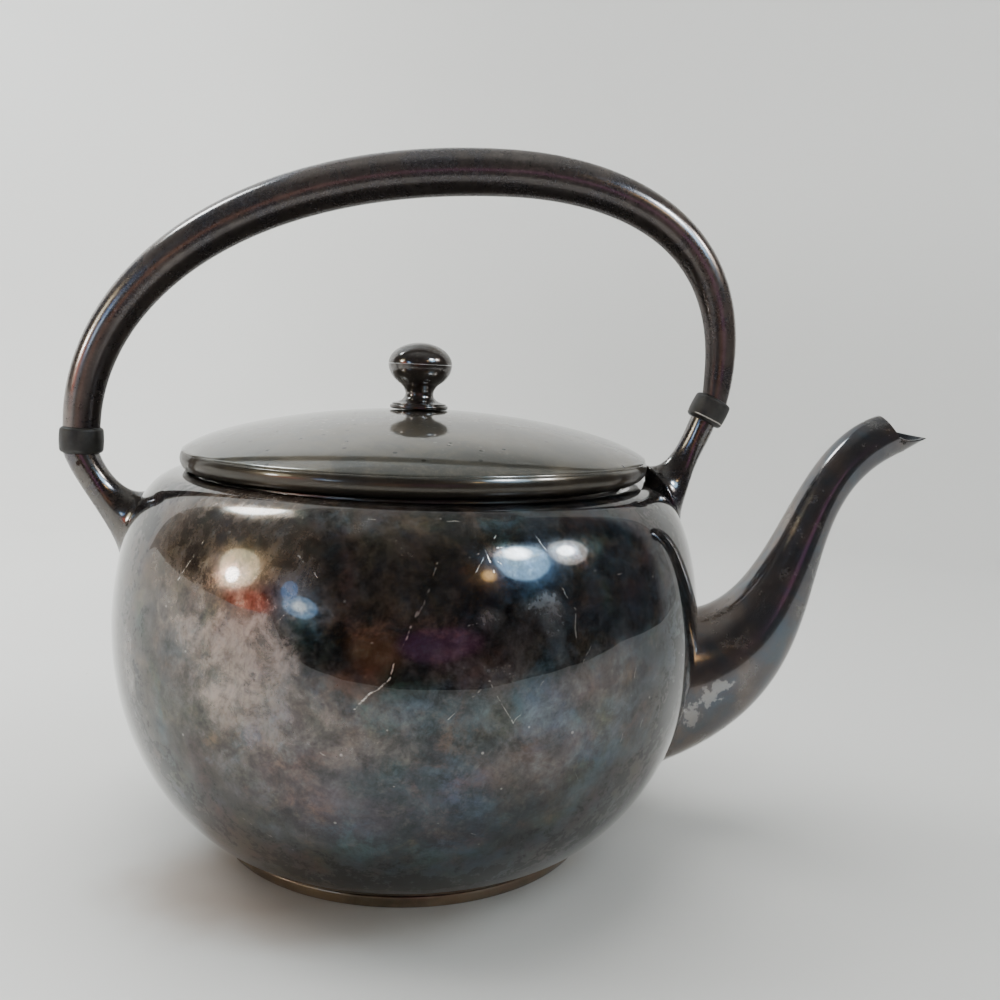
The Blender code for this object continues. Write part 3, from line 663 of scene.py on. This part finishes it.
def knob_base(surface):
    lower = [(9.05 * math.sin(a), 134.35 + 7.1 * math.cos(a)) for a in np.linspace(1.5708, 2.5, 24)]
    end = lower[-1]
    waist = bezier([end, (3.55, 127.0), (3.0, 124.2), (7.2, 123.45)], 24) / MM
    foot = rounded([tuple(waist[-1]), (7.75, 123.3), (7.6, 122.95), (8.3, 122.75), (8.3, 122.0),
                    (7.9, 121.75)], 0.3)
    bowl = [(8.3 * math.sin(a), 134.35 + 6.3 * math.cos(a)) for a in np.linspace(2.3, 1.5708, 12)]
    inside = [(7.9, 121.75), (1.95, 121.75), (1.95, 129.6), (5.4, 129.6)]
    profile = np.vstack([lower, waist[1:], foot[1:], inside[1:], bowl])
    return lathe("knob_waist", profile * MM, surface, 72)


def knob_cap(surface):
    outer = [(9.05 * math.sin(a), 134.45 + 6.0 * math.cos(a)) for a in np.linspace(0, 1.5708, 30)]
    inner = [(8.25 * math.sin(a), 134.45 + 5.2 * math.cos(a)) for a in np.linspace(1.5708, 0, 16)]
    outer[0] = (0.0, outer[0][1])
    inner[-1] = (0.0, inner[-1][1])
    return lathe("knob_top", np.vstack([outer, inner]) * MM, surface, 72)


def lean(piece, degrees, pivot, shift=(0.0, 0.0, 0.0)):
    """Tip a piece about a level axis through a point, into its mesh."""
    pivot = Vector(pivot)
    turn = Matrix.Translation(pivot + Vector(shift)) @ Matrix.Rotation(
        math.radians(degrees), 4, "Y") @ Matrix.Translation(-pivot)
    piece.data.transform(turn)


# ---------------------------------------------------------------- handle

HOOP_REAR = [(-93.4, 113.6), (-92.7, 151.5), (-51.9, 188.5), (24.0, 188.5)]
HOOP_LEAN = 0.14
HOOP_FRONT = [(24.0, 188.5), (50.1, 188.5), (86.3 + 51.9 * math.sin(HOOP_LEAN),
                                             128.2 + 51.9 * math.cos(HOOP_LEAN)), (86.3, 128.2)]
HOOP_RADII = (4.95 * MM, 6.5 * MM, 3.9 * MM)
COLLAR_LEAN = 0.43
COLLAR_LENGTH = 6.8 * MM
REAR_LEAN = np.array([0.33, -0.94]) / math.hypot(0.33, 0.94)
FRONT_LEAN = np.array([-0.36, -0.93]) / math.hypot(0.36, 0.93)
GAP = 0.3 * MM
WALL = 1.0 * MM
SPIGOT = 4.8 * MM
HOOP_STEPS = 220
SOCKET_TURNS = 96
SOCKET_STEPS = 56


def hoop_line():
    line = np.vstack([bezier(HOOP_REAR, 200), bezier(HOOP_FRONT, 200)[1:]])
    run = np.concatenate([[0.0], np.cumsum(np.linalg.norm(np.diff(line, axis=0), axis=1))])
    run /= run[-1]
    rear, top, front = HOOP_RADII
    ends = np.where(run < 0.5, rear, front)
    return line, run, ends + (top - ends) * np.sin(math.pi * run)


def hoop_ends():
    line = hoop_line()[0]
    rear = (line[0] - line[1]) / np.linalg.norm(line[0] - line[1])
    front = (line[-1] - line[-2]) / np.linalg.norm(line[-1] - line[-2])
    tilted = np.array([-math.sin(COLLAR_LEAN), -math.cos(COLLAR_LEAN)])
    return (line[0], rear, rear, REAR_LEAN), (line[-1], front, tilted, FRONT_LEAN)


def tube_ring(centre, along, radius, turns=48):
    inward = np.array([-along[1], along[0]])
    angle = np.linspace(0.0, 2.0 * math.pi, turns, endpoint=False)
    flat = centre + inward * (radius * np.cos(angle))[:, None]
    return np.stack([flat[:, 0] + AXIS_X, radius * np.sin(angle), flat[:, 1]], 1)


def flat_point(flat):
    return np.array([[flat[0] + AXIS_X, 0.0, flat[1]]])


def hoop(surface):
    line, run, radii = hoop_line()
    spots = np.linspace(0.0, 1.0, HOOP_STEPS)
    centres = np.stack([np.interp(spots, run, line[:, k]) for k in (0, 1)], 1)
    tube = np.interp(spots, run, radii)
    along = np.gradient(centres, axis=0)
    along /= np.linalg.norm(along, axis=1)[:, None]
    tilted = hoop_ends()[1][2]
    for back in range(6):
        share = 1.0 - back / 6.0
        along[-1 - back] = along[-1 - back] * (1 - share) + tilted * share
        along[-1 - back] /= np.linalg.norm(along[-1 - back])
    outer = [tube_ring(c, a, r) for c, a, r in zip(centres, along, tube)]
    inner = [tube_ring(c, a, r - WALL) for c, a, r in zip(centres, along, tube)]
    return skin("handle_hoop", outer + inner[::-1], surface)


def collar(name, end, radius, hoop_radius, socket_radius, surface):
    point, hoop_way, along, sunk = end
    start = point + along * 0.1 * MM
    upper = hoop_radius - WALL - 2 * GAP
    lower = socket_radius - WALL - 1.5 * GAP
    deep = point - hoop_way * SPIGOT
    length = COLLAR_LENGTH + 0.4 * MM
    soft = 1.1 * MM
    shape = [(0.0, upper), (0.0, radius - soft)]
    for k in range(1, 7):
        a = k / 6 * math.pi / 2
        shape.append((soft * (1 - math.cos(a)), radius - soft * (1 - math.sin(a))))
    for share in (0.25, 0.5, 0.75):
        swell = 0.12 * MM * math.sin(share * 3.14)
        shape.append((soft + (length - 2 * soft) * share, radius + swell))
    for k in range(0, 7):
        a = k / 6 * math.pi / 2
        shape.append((length - soft * (1 - math.sin(a)), radius - soft * (1 - math.cos(a))))
    shape += [(length, lower)]
    tip = start + along * length + sunk * SPIGOT
    rings = [flat_point(deep), tube_ring(deep, hoop_way, upper, 64)]
    rings += [tube_ring(start + along * run, along, size, 64) for run, size in shape]
    rings += [tube_ring(tip, along, lower, 64), flat_point(tip)]
    return skin(name, rings, surface, loop=False)


def hermite(start, end, leave, arrive, t):
    """A smooth curve that leaves its start one way and arrives at its end another."""
    return (start * (2 * t ** 3 - 3 * t ** 2 + 1) + end * (3 * t ** 2 - 2 * t ** 3)
            + leave * (t ** 3 - 2 * t ** 2 + t) + arrive * (t ** 3 - t ** 2))


def socket(name, end, radius, side, footprint, lengths, rise, surface):
    """A flared socket from its collar down onto the belly."""
    point, _, along, sunk = end
    start = point + along * (COLLAR_LENGTH + 2 * GAP)
    low, high, half_width = [value * MM for value in footprint]
    middle = (low + high) / 2
    half_height = (high - low) / 2
    inward = np.array([side * along[1], -side * along[0]]) * -1.0
    if inward[0] * side > 0:
        inward = -inward
    hub = on_body(side, 0.0, middle)
    angle = np.linspace(0.0, 2.0 * math.pi, SOCKET_TURNS, endpoint=False)
    share = 0.5 + 0.5 * np.cos(angle)
    flat = start + inward * (radius * np.cos(angle))[:, None]
    tops = np.stack([flat[:, 0] + AXIS_X, radius * np.sin(angle), flat[:, 1]], 1)
    feet = np.array([on_body(side, half_width * math.sin(a), middle + half_height * math.cos(a))
                     for a in angle])
    spread = feet - hub
    spread /= np.linalg.norm(spread, axis=1)[:, None]
    slopes = (np.array([-side, 0.0, 0.0]) * (0.25 + 0.6 * share)[:, None]
              + spread * (0.95 - 0.55 * share)[:, None])
    slopes /= np.linalg.norm(slopes, axis=1)[:, None]
    edge = feet + np.array([0.0, 0.0, 1.0]) * (rise * MM * share ** 2)[:, None]
    edge = edge + np.array([side * 0.35 * MM, 0.0, 0.0])
    down = np.array([sunk[0], 0.0, sunk[1]])
    reach = (lengths[0] + (lengths[1] - lengths[0]) * (1 - share))[:, None] * MM
    rings = []
    for t in np.linspace(0.0, 1.0, SOCKET_STEPS):
        rings.append(hermite(tops, edge, down * reach, slopes * reach, t))
    depth = np.linalg.norm(feet - edge, axis=1)[:, None]
    for t in np.linspace(0.0, 1.0, 9)[1:-1]:
        rings.append(hermite(edge, feet, slopes * depth * 0.6,
                             np.array([0.0, 0.0, -1.0]) * depth * 0.5, t))
    for scale in (1.0, 0.66, 0.33):
        rings.append(np.array([on_body(side, scale * half_width * math.sin(a),
                                       middle + scale * half_height * math.cos(a), -0.05 * MM)
                               for a in angle]))
    rings.append(hub[None, :])
    bore = []
    for depth in (SPIGOT + 2 * GAP, 0.0):
        flat = start + sunk * depth + inward * ((radius - WALL) * np.cos(angle))[:, None]
        bore.append(np.stack([flat[:, 0] + AXIS_X, (radius - WALL) * np.sin(angle), flat[:, 1]], 1))
    bottom = [flat_point(start + sunk * (SPIGOT + 2 * GAP))]
    return skin(name, bottom + bore + rings, surface, False, math.radians(60))


# ---------------------------------------------------------------- spout

SPOUT_UPPER = [(82.6, 65.0), (109.8, 67.2), (109.1, 115.9), (136.4, 125.2)]
SPOUT_LOWER = [(67.5, 15.0), (142.0, 38.9), (102.8, 94.9), (144.2, 114.6)]
RIM_UPPER = [(137.2, 0.0, 124.9), (137.4, 3.4, 124.4), (137.9, 5.3, 122.4), (139.4, 5.2, 120.4)]
RIM_LOWER = [(139.4, 5.2, 120.4), (141.0, 5.2, 118.8), (147.2, 3.4, 118.5), (151.6, 0.0, 118.8)]
RIM_MIDDLE = np.array([143.6, 0.0, 120.3]) * MM
SPOUT_TURNS = 96
SPOUT_STEPS = 80


def spout_rings(wall):
    upper = bezier(SPOUT_UPPER, SPOUT_STEPS)
    lower = bezier(SPOUT_LOWER, SPOUT_STEPS)
    place = np.linspace(0.0, 1.0, SPOUT_STEPS)
    width = (6.6 + 10.9 * (1 - place) ** 2.2 - 1.0 * place ** 3) * MM
    angle = np.linspace(0.0, 2.0 * math.pi, SPOUT_TURNS, endpoint=False)
    rings = []
    for top, bottom, half in zip(upper, lower, width):
        inset = (top - bottom) / np.linalg.norm(top - bottom) * wall
        top = top - inset
        bottom = bottom + inset
        flat = (top + bottom) / 2 + (top - bottom) / 2 * np.cos(angle)[:, None]
        rings.append(np.stack([flat[:, 0] + AXIS_X, (half - wall) * np.sin(angle), flat[:, 1]], 1))
    rings[0] = np.array([on_body(1.0, y, z, -0.1 * MM) for _, y, z in rings[0]])
    quarter = SPOUT_TURNS // 4 + 1
    near = np.vstack([bezier(RIM_UPPER, quarter), bezier(RIM_LOWER, quarter)[1:]])
    far = near[1:-1][::-1] * np.array([1.0, -1.0, 1.0])
    rim = np.vstack([near, far])
    dip = np.clip((rim[:, 0] / MM - 138.5) / 5.5, 0.0, 1.0)
    rim[:, 2] += rim[:, 1] * 0.25 * dip ** 2 * (3 - 2 * dip)
    middle = RIM_MIDDLE
    if wall > 0.0:
        rim = middle + (rim - middle) * 0.84
    rim = rim + AXIS
    throat = rings[-1]
    lead = throat - rings[-2]
    lead /= np.linalg.norm(lead, axis=1)[:, None]
    reach = np.linalg.norm(rim - throat, axis=1)[:, None]
    for t in np.linspace(0.0, 1.0, 15)[1:]:
        blend = throat * (1 - t) + rim * t
        rings.append(blend + lead * reach * 0.22 * t * (1 - t) ** 2 * 2)
    return rings


def spout(surface):
    outer = spout_rings(0.0)
    inner = spout_rings(0.9 * MM)
    rim_out = outer[-1]
    rim_in = inner[-1]
    lead = rim_out - outer[-2]
    lead /= np.linalg.norm(lead, axis=1)[:, None]
    lifted = []
    for t in np.linspace(0.0, 1.0, 8)[1:-1]:
        half = math.pi * t
        lifted.append(rim_out * (0.5 + 0.5 * math.cos(half)) + rim_in * (0.5 - 0.5 * math.cos(half))
                      + lead * 0.38 * MM * math.sin(half))
    return skin("spout_tube", outer + lifted + inner[::-1], surface, sharp=math.radians(60))


# ---------------------------------------------------------------- assembly

SILVER = "tarnished_silver"
# Scratches: degrees round and height (mm) of both ends, width (mm), strength.
FRONT_MARKS = (
    (-8, 62, -5, 66, 0.26, 1.0), (-5, 66, -3, 69, 0.22, 0.9), (-3, 69, 1, 83, 0.13, 0.7),
    (1, 82, 4, 93, 0.11, 0.6), (-6, 76, 10, 80, 0.10, 0.5), (-42, 84, -38, 94, 0.14, 0.7),
    (-19, 93, -15, 89, 0.12, 0.7), (25, 87, 27, 82, 0.13, 0.7), (27, 82, 27, 76, 0.13, 0.6),
    (10, 99, 12, 95, 0.13, 0.7), (12, 95, 13, 91, 0.12, 0.7), (9, 94, 15, 96, 0.10, 0.6),
    (10, 91, 14, 98, 0.10, 0.6), (14, 93, 18, 90, 0.09, 0.5), (31, 90, 39, 88, 0.10, 0.6),
    (6, 60, 12, 68, 0.13, 0.4), (12, 68, 16, 58, 0.12, 0.4), (16, 58, 21, 67, 0.12, 0.35),
    (-8, 101, 8, 101, 0.10, 0.5), (40, 66, 38, 48, 0.10, 0.4), (46, 70, 43, 50, 0.10, 0.4),
    (-52, 88, -40, 70, 0.12, 0.5), (-60, 47, -55, 38, 0.20, 0.6), (-30, 30, -24, 26, 0.12, 0.4),
    (35, 84, 28, 70, 0.10, 0.35), (2, 36, 12, 30, 0.10, 0.35), (-14, 52, -2, 44, 0.12, 0.35),
    (140, 70, 128, 50, 0.14, 0.5), (-120, 80, -112, 66, 0.14, 0.5), (165, 40, 174, 52, 0.12, 0.5))

marks = [(pot_point(a, h), pot_point(b, k), 1.15 * width * MM, min(1.0, 1.2 * strength))
         for a, h, b, k, width, strength in FRONT_MARKS]
body_silver = belly_silver("silver_body", marks)
# The lid's band under its crease (edge) gets painted shade.
lid_silver = tarnished(
    "silver_lid", rgb(0.095, 0.093, 0.080),
    (rgb(0.150, 0.132, 0.104), rgb(0.084, 0.086, 0.080)), rgb(0.24, 0.215, 0.175),
    seed=3.1, amount=0.65, shine=0.36, coat=(0.07, 1.60), cream=0.62, pits=0.8,
    scratches=0.10, edge=0.1094)
# The hoop's inner side, facing hub, gets painted shade.
hoop_silver = tarnished(
    "silver_handle", rgb(0.090, 0.078, 0.076),
    (rgb(0.160, 0.130, 0.118), rgb(0.096, 0.092, 0.106)), rgb(0.28, 0.24, 0.21),
    seed=5.7, amount=0.30, shine=0.27, coat=(0.14, 1.5), scratches=0.40,
    hub=(AXIS_X, 0.0, 0.130))
# Bare patches at the spout's root: middle and half sizes.
WORN_SPOTS = (((AXIS_X + 0.0815, -0.0140, 0.0375), (0.0024, 0.02, 0.0032)),
              ((AXIS_X + 0.0862, -0.0150, 0.0435), (0.0030, 0.02, 0.0028)),
              ((AXIS_X + 0.0900, -0.0150, 0.0465), (0.0032, 0.02, 0.0013)))
spout_silver = tarnished(
    "silver_spout", rgb(0.060, 0.058, 0.066),
    (rgb(0.150, 0.112, 0.094), rgb(0.062, 0.086, 0.108)), rgb(0.19, 0.185, 0.17),
    seed=8.3, amount=0.60, shine=0.19, coat=(0.03, 1.46), scratches=0.40, worn=WORN_SPOTS)
socket_silver = tarnished(
    "silver_socket", rgb(0.040, 0.037, 0.038),
    (rgb(0.080, 0.066, 0.056), rgb(0.050, 0.046, 0.066)), rgb(0.15, 0.13, 0.115),
    seed=11.9, amount=0.4, shine=0.26, coat=(0.07, 1.62))
knob_silver = tarnished(
    "silver_knob", rgb(0.050, 0.040, 0.035),
    (rgb(0.085, 0.066, 0.056), rgb(0.055, 0.046, 0.043)), rgb(0.16, 0.135, 0.115),
    seed=14.2, amount=0.4, shine=0.30, coat=(0.12, 1.65))
foot_silver = tarnished(
    "silver_foot", rgb(0.21, 0.135, 0.088),
    (rgb(0.42, 0.29, 0.17), rgb(0.15, 0.115, 0.07)), rgb(0.30, 0.25, 0.16),
    seed=17.5, amount=0.5, shine=0.30, coat=(0.12, 1.6))
inner_silver = tarnished(
    "silver_inside", rgb(0.20, 0.19, 0.18),
    (rgb(0.36, 0.33, 0.29), rgb(0.28, 0.27, 0.26)), rgb(0.42, 0.40, 0.36),
    seed=21.0, amount=0.4, shine=0.34, coat=(0.2, 1.5))

REAR_END, FRONT_END = hoop_ends()
crack_at = FRONT_END[0] + FRONT_END[2] * 5.9 * MM
CRACK = ((crack_at[0] + AXIS_X, 0.0, crack_at[1]), (FRONT_END[2][0], 0.0, FRONT_END[2][1]))

settle(body_shell(body_silver), "pot", SILVER, "body_shell")
settle(foot_ring(foot_silver), "pot", SILVER, "foot_ring")
settle(ring("mouth_collar", 57.2, 58.3, 96.5, 103.7, inner_silver), "pot", SILVER, "mouth_ring")
settle(spout(spout_silver), "pot", SILVER, "spout")
settle(hoop(hoop_silver), "pot", SILVER, "handle_bail")
settle(collar("collar_rear", REAR_END, 5.8 * MM, 4.95 * MM, 4.8 * MM,
              collar_surface("collar_matt")), "pot", "collar_grey", "insulator_rear")
settle(collar("collar_front", FRONT_END, 5.35 * MM, 3.9 * MM, 3.75 * MM,
              collar_surface("collar_matt_cracked", CRACK)),
       "pot", "collar_grey", "insulator_front")
settle(socket("socket_rear", REAR_END, 4.8 * MM, -1.0, (73.0, 95.5, 7.2), (17.0, 34.0), 0.6,
              socket_silver), "pot", SILVER, "handle_socket_rear")
settle(socket("socket_front", FRONT_END, 3.75 * MM, 1.0, (90.0, 103.4, 7.6), (20.0, 30.0), 4.6,
              socket_silver), "pot", SILVER, "handle_socket_front")

LID_PIVOT = (AXIS_X, 0.0, 0.104)
LID_SHIFT = (0.0004, 0.0, 0.0003)
lid_pieces = [(lid_dome(lid_silver), "lid_dome"), (knob_cap(knob_silver), "knob_cap"),
              (knob_base(knob_silver), "knob_base"),
              (ring("lid_collar", 55.8, 56.6, 95.5, 104.6, inner_silver), "lid_flange")]
for piece, node in lid_pieces:
    if node.startswith("knob"):
        lean(piece, 0.8, (AXIS_X, 0.0, 0.1219))
    lean(piece, -0.5, LID_PIVOT, LID_SHIFT)
    settle(piece, "lid", SILVER, node)

brass = brass_surface()
for node in ("knob_stud", "knob_washer", "knob_nut"):
    frame["nodes"][node].data.materials.clear()
    frame["nodes"][node].data.materials.append(brass)
for node in ("pin_rear_upper", "pin_rear_lower", "pin_front_upper", "pin_front_lower"):
    frame["nodes"][node].data.materials.clear()
    frame["nodes"][node].data.materials.append(socket_silver)


# ---------------------------------------------------------------- floor, light, camera

def paper(name):
    made, graph, shader, place = new_material(name)
    cloud = graph.noise(place, 3.0, 3.0)
    speck = graph.noise(place, 420.0, 2.0, 0.5)
    dirt = graph.times(graph.step(speck, 0.70, 0.78), graph.step(
        graph.noise(place, 14.0, 2.0), 0.5, 0.7))
    colour = graph.mix(graph.step(cloud, 0.3, 0.7), rgb(0.66, 0.66, 0.64), rgb(0.70, 0.70, 0.685))
    colour = graph.mix(graph.times(dirt, 0.5), colour, rgb(0.30, 0.30, 0.26))
    # Painted light and shade: the paper is painted lighter up the wall on the left and darker
    # towards the right, darkest on the floor there.
    split = graph.node("ShaderNodeSeparateXYZ")
    graph.put(split.inputs[0], place)
    side = graph.step(split.outputs[0], -0.35, 0.30)
    level = graph.step(split.outputs[2], 0.02, 0.50)
    colour = graph.mix(graph.times(level, graph.minus(1.0, side)), colour,
                       rgb(0.80, 0.80, 0.785))
    colour = graph.mix(side, colour, graph.mix(level, rgb(0.49, 0.49, 0.48), rgb(0.63, 0.63, 0.62)))
    # Painted shadow: two warm brown darkened ovals on the floor beside the foot's left side.
    ragged = graph.times(graph.minus(graph.noise(place, 40.0, 2.0), 0.5), 0.8)
    for middle, half, depth in (((-0.070, -0.040, 0.0), (0.026, 0.020, 1.0), 0.62),
                                ((-0.050, -0.058, 0.0), (0.030, 0.012, 1.0), 0.45)):
        glow = patch(graph, place, ragged, middle, half, depth, None, 0.6)
        colour = graph.mix(glow, colour, rgb(0.30, 0.22, 0.165))
    graph.put(shader.inputs["Base Color"], colour)
    shader.inputs["Roughness"].default_value = 0.42
    shader.inputs["Specular IOR Level"].default_value = 0.35
    return made


# How far the mirrored sheet reaches from the pot, by direction (0 = behind, 90 = spout side).
EDGE_ANGLES = (
    0, 62, 64, 78, 102, 129, 158, 183, 202, 221, 229, 292, 296, 360)
EDGE_REACH = (
    1.0, 0.80, 0.74, 0.69, 0.71, 0.54, 0.394, 0.408, 0.49, 0.76, 1.03, 1.08, 1.0, 1.0)
MIRRORED_ALL = ((0, 63), (295, 360))
BOWL_FLAT = 0.60
BOWL_CURVE = 0.55
BOWL_HEIGHT = 2.3


def bowl_point(angle, run):
    """A point of the paper sweep: flat, then a quarter turn up, then a wall."""
    if run <= BOWL_FLAT:
        radius, height = run, 0.0
    else:
        bend = min((run - BOWL_FLAT) / BOWL_CURVE, math.pi / 2)
        radius = BOWL_FLAT + BOWL_CURVE * math.sin(bend)
        height = BOWL_CURVE * (1 - math.cos(bend))
        height += max(0.0, run - BOWL_FLAT - BOWL_CURVE * math.pi / 2)
    return (AXIS_X + radius * math.sin(angle), radius * math.cos(angle), height)


def sweep():
    """The sheet the pot stands on, and its unmirrored rest that only fills other views."""
    end = BOWL_FLAT + BOWL_CURVE * math.pi / 2 + (BOWL_HEIGHT - BOWL_CURVE)
    surface = paper("pale_paper")
    turns = 240
    count = 40
    columns = []
    for index in range(turns):
        degrees = 360.0 * index / turns
        reach = float(np.interp(degrees, EDGE_ANGLES, EDGE_REACH))
        runs = list(np.linspace(0.0, reach, count)) + list(np.linspace(reach, end, count))[1:]
        columns.append([bowl_point(math.radians(degrees), run) for run in runs])
    sheets = {"paper_sheet": ([], []), "paper_surround": ([], [])}
    for index in range(turns):
        degrees = 360.0 * (index + 0.5) / turns
        whole = any(low <= degrees <= high for low, high in MIRRORED_ALL)
        here = columns[index]
        there = columns[(index + 1) % turns]
        for step in range(len(here) - 1):
            verts, faces = sheets["paper_sheet" if whole or step < count - 1 else "paper_surround"]
            start = len(verts)
            verts.extend([here[step], there[step], there[step + 1], here[step + 1]])
            faces.append([start, start + 1, start + 2, start + 3])
    for name, (verts, faces) in sheets.items():
        mesh = bpy.data.meshes.new(name)
        mesh.from_pydata(verts, [], faces)
        work = bmesh.new()
        work.from_mesh(mesh)
        bmesh.ops.remove_doubles(work, verts=work.verts, dist=1e-5)
        bmesh.ops.dissolve_degenerate(work, edges=work.edges, dist=1e-6)
        bmesh.ops.recalc_face_normals(work, faces=work.faces)
        work.to_mesh(mesh)
        work.free()
        mesh.shade_smooth()
        mesh.materials.append(surface)
        piece = bpy.data.objects.new(name, mesh)
        bpy.context.scene.collection.objects.link(piece)
        if name == "paper_surround":
            piece.visible_glossy = False


def heading(azimuth, elevation):
    """A direction: azimuth from the front (-Y) towards the spout (+X), in degrees."""
    a = math.radians(azimuth)
    e = math.radians(elevation)
    return np.array([math.sin(a) * math.cos(e), -math.cos(a) * math.cos(e), math.sin(e)])


def lamp(graph, way, azimuth, elevation, wide, tall, soft=0.12):
    """1 inside an oval patch of sky, wide and tall being half sizes in degrees."""
    centre = heading(azimuth, elevation)
    side = heading(azimuth + 90.0, 0.0)
    up = np.cross(centre, side)
    up = up if up[2] > 0 else -up
    u, v = [graph.math("DIVIDE", graph.dot(way, tuple(axis)),
                       math.sin(math.radians(half))) for axis, half in ((side, wide), (up, tall))]
    far = graph.math("SQRT", graph.plus(graph.times(u, u), graph.times(v, v)))
    inside = graph.step(far, 1.0 + soft, 1.0 - soft)
    front = graph.math("GREATER_THAN", graph.dot(way, tuple(centre)), 0.0)
    return graph.times(inside, front)


# Bright and coloured patches of the room: azimuth, elevation, half width, half height
# (degrees), softness, colour, strength. Later ones are laid over earlier ones.
LAMPS = ((0, 90, 32, 32, 0.45, (0.96, 1.0, 0.97), 0.50),
         (-115, 46, 30, 22, 0.60, (0.80, 0.90, 1.0), 0.30),
         (-115, 51, 9.8, 9.4, 0.10, (0.50, 0.86, 0.90), 12.0),
         (-115, 51, 8.8, 8.0, 0.10, (0.95, 1.0, 1.0), 40.0),
         (-70, 18, 8.5, 8.5, 0.10, (0.95, 0.88, 0.60), 8.5),
         (-71, 14.5, 2.9, 2.9, 0.25, (1.0, 1.0, 1.0), 90.0),
         (47, 33, 10.5, 11, 0.10, (0.44, 0.72, 1.0), 12.5),
         (47, 38, 4.6, 4.2, 0.4, (0.9, 0.96, 1.0), 88.0),
         (71, 32, 8.5, 8.5, 0.10, (0.94, 0.86, 0.76), 6.5),
         (70, 33, 3.8, 3.4, 0.25, (1.0, 1.0, 1.0), 64.0),
         (30, 28, 5.0, 5.0, 0.3, (0.8, 0.6, 0.42), 1.0),
         (30, 27, 2.7, 2.7, 0.5, (1.0, 0.62, 0.24), 16.0),
         (-41, 10, 6.5, 3.8, 0.10, (0.34, 0.62, 1.0), 6.2),
         (-46, 15, 3.2, 3.6, 0.12, (0.20, 0.46, 1.0), 4.8),
         (-41, 10, 2.6, 1.8, 0.40, (0.80, 0.92, 1.0), 13.0),
         (-62, 7, 9.0, 4.8, 0.3, (1.0, 0.17, 0.10), 3.0),
         (-12, 0, 9, 6, 0.5, (1.0, 0.45, 0.25), 0.90),
         (10, 2, 14, 5, 0.25, (0.84, 0.34, 0.66), 0.80))


def world():
    made = bpy.data.worlds.new("soft_studio")
    bpy.context.scene.world = made
    made.use_nodes = True
    graph = Graph(made.node_tree)
    made.node_tree.nodes.clear()
    way = graph.node("ShaderNodeTexCoord").outputs["Generated"]
    way = graph.vector("NORMALIZE", way)
    mottle = graph.noise(way, 3.5, 4.0, 0.6)
    room = graph.mix(graph.step(mottle, 0.35, 0.7), rgb(0.036, 0.038, 0.044),
                     rgb(0.120, 0.102, 0.090))
    for azimuth, elevation, wide, tall, soft, tone, strength in LAMPS:
        inside = lamp(graph, way, azimuth, elevation, wide, tall, soft)
        room = graph.mix(inside, room, rgb(*[value * strength for value in tone]))
    back = graph.dot(way, tuple(heading(180.0, 0.0)))
    behind = graph.step(back, 0.26, 0.42)
    room = graph.mix(behind, room, rgb(0.62, 0.63, 0.62))
    paths = graph.node("ShaderNodeLightPath")
    seen = graph.mix(paths.outputs["Is Camera Ray"], room, rgb(0.68, 0.68, 0.66))
    glow = graph.node("ShaderNodeBackground")
    graph.put(glow.inputs["Color"], seen)
    out = graph.node("ShaderNodeOutputWorld")
    made.node_tree.links.new(glow.outputs[0], out.inputs["Surface"])


def softbox(name, place, target, size, power, colour=(1.0, 1.0, 1.0)):
    """A broad soft light that is not itself mirrored in the silver."""
    data = bpy.data.lights.new(name, "AREA")
    data.shape = "DISK"
    data.size = size
    data.energy = power
    data.color = colour
    light = bpy.data.objects.new(name, data)
    light.location = place
    light.rotation_euler = (Vector(target) - Vector(place)).to_track_quat("-Z", "Y").to_euler()
    light.visible_glossy = False
    bpy.context.scene.collection.objects.link(light)


def camera():
    data = bpy.data.cameras.new("camera")
    data.sensor_width = 36.0
    data.lens = 36.0
    item = bpy.data.objects.new("camera", data)
    right = Vector((0.99596592, -0.07952797, 0.04155949))
    up = Vector((-0.0302891, 0.13800979, 0.98996761))
    ahead = Vector((0.08446574, 0.9872328, -0.13504422))
    turn = Matrix((right, up, -ahead)).transposed().to_4x4()
    item.matrix_world = Matrix.Translation((AXIS_X, -0.28785, 0.13581)) @ turn
    data.clip_start = 0.01
    bpy.context.scene.collection.objects.link(item)
    bpy.context.scene.camera = item


camera()
sweep()
world()
softbox("soft_top", (-0.10, 0.22, 1.20), (0.0, 0.10, 0.0), 0.9, 13.0, (1.0, 0.995, 0.98))
softbox("soft_left", (-0.75, 0.20, 0.85), (-0.25, 0.40, 0.10), 0.6, 8.5, (1.0, 1.0, 0.99))
softbox("soft_right", (0.75, -0.15, 0.85), (0.0, 0.0, 0.0), 0.5, 3.2, (0.93, 0.97, 1.0))
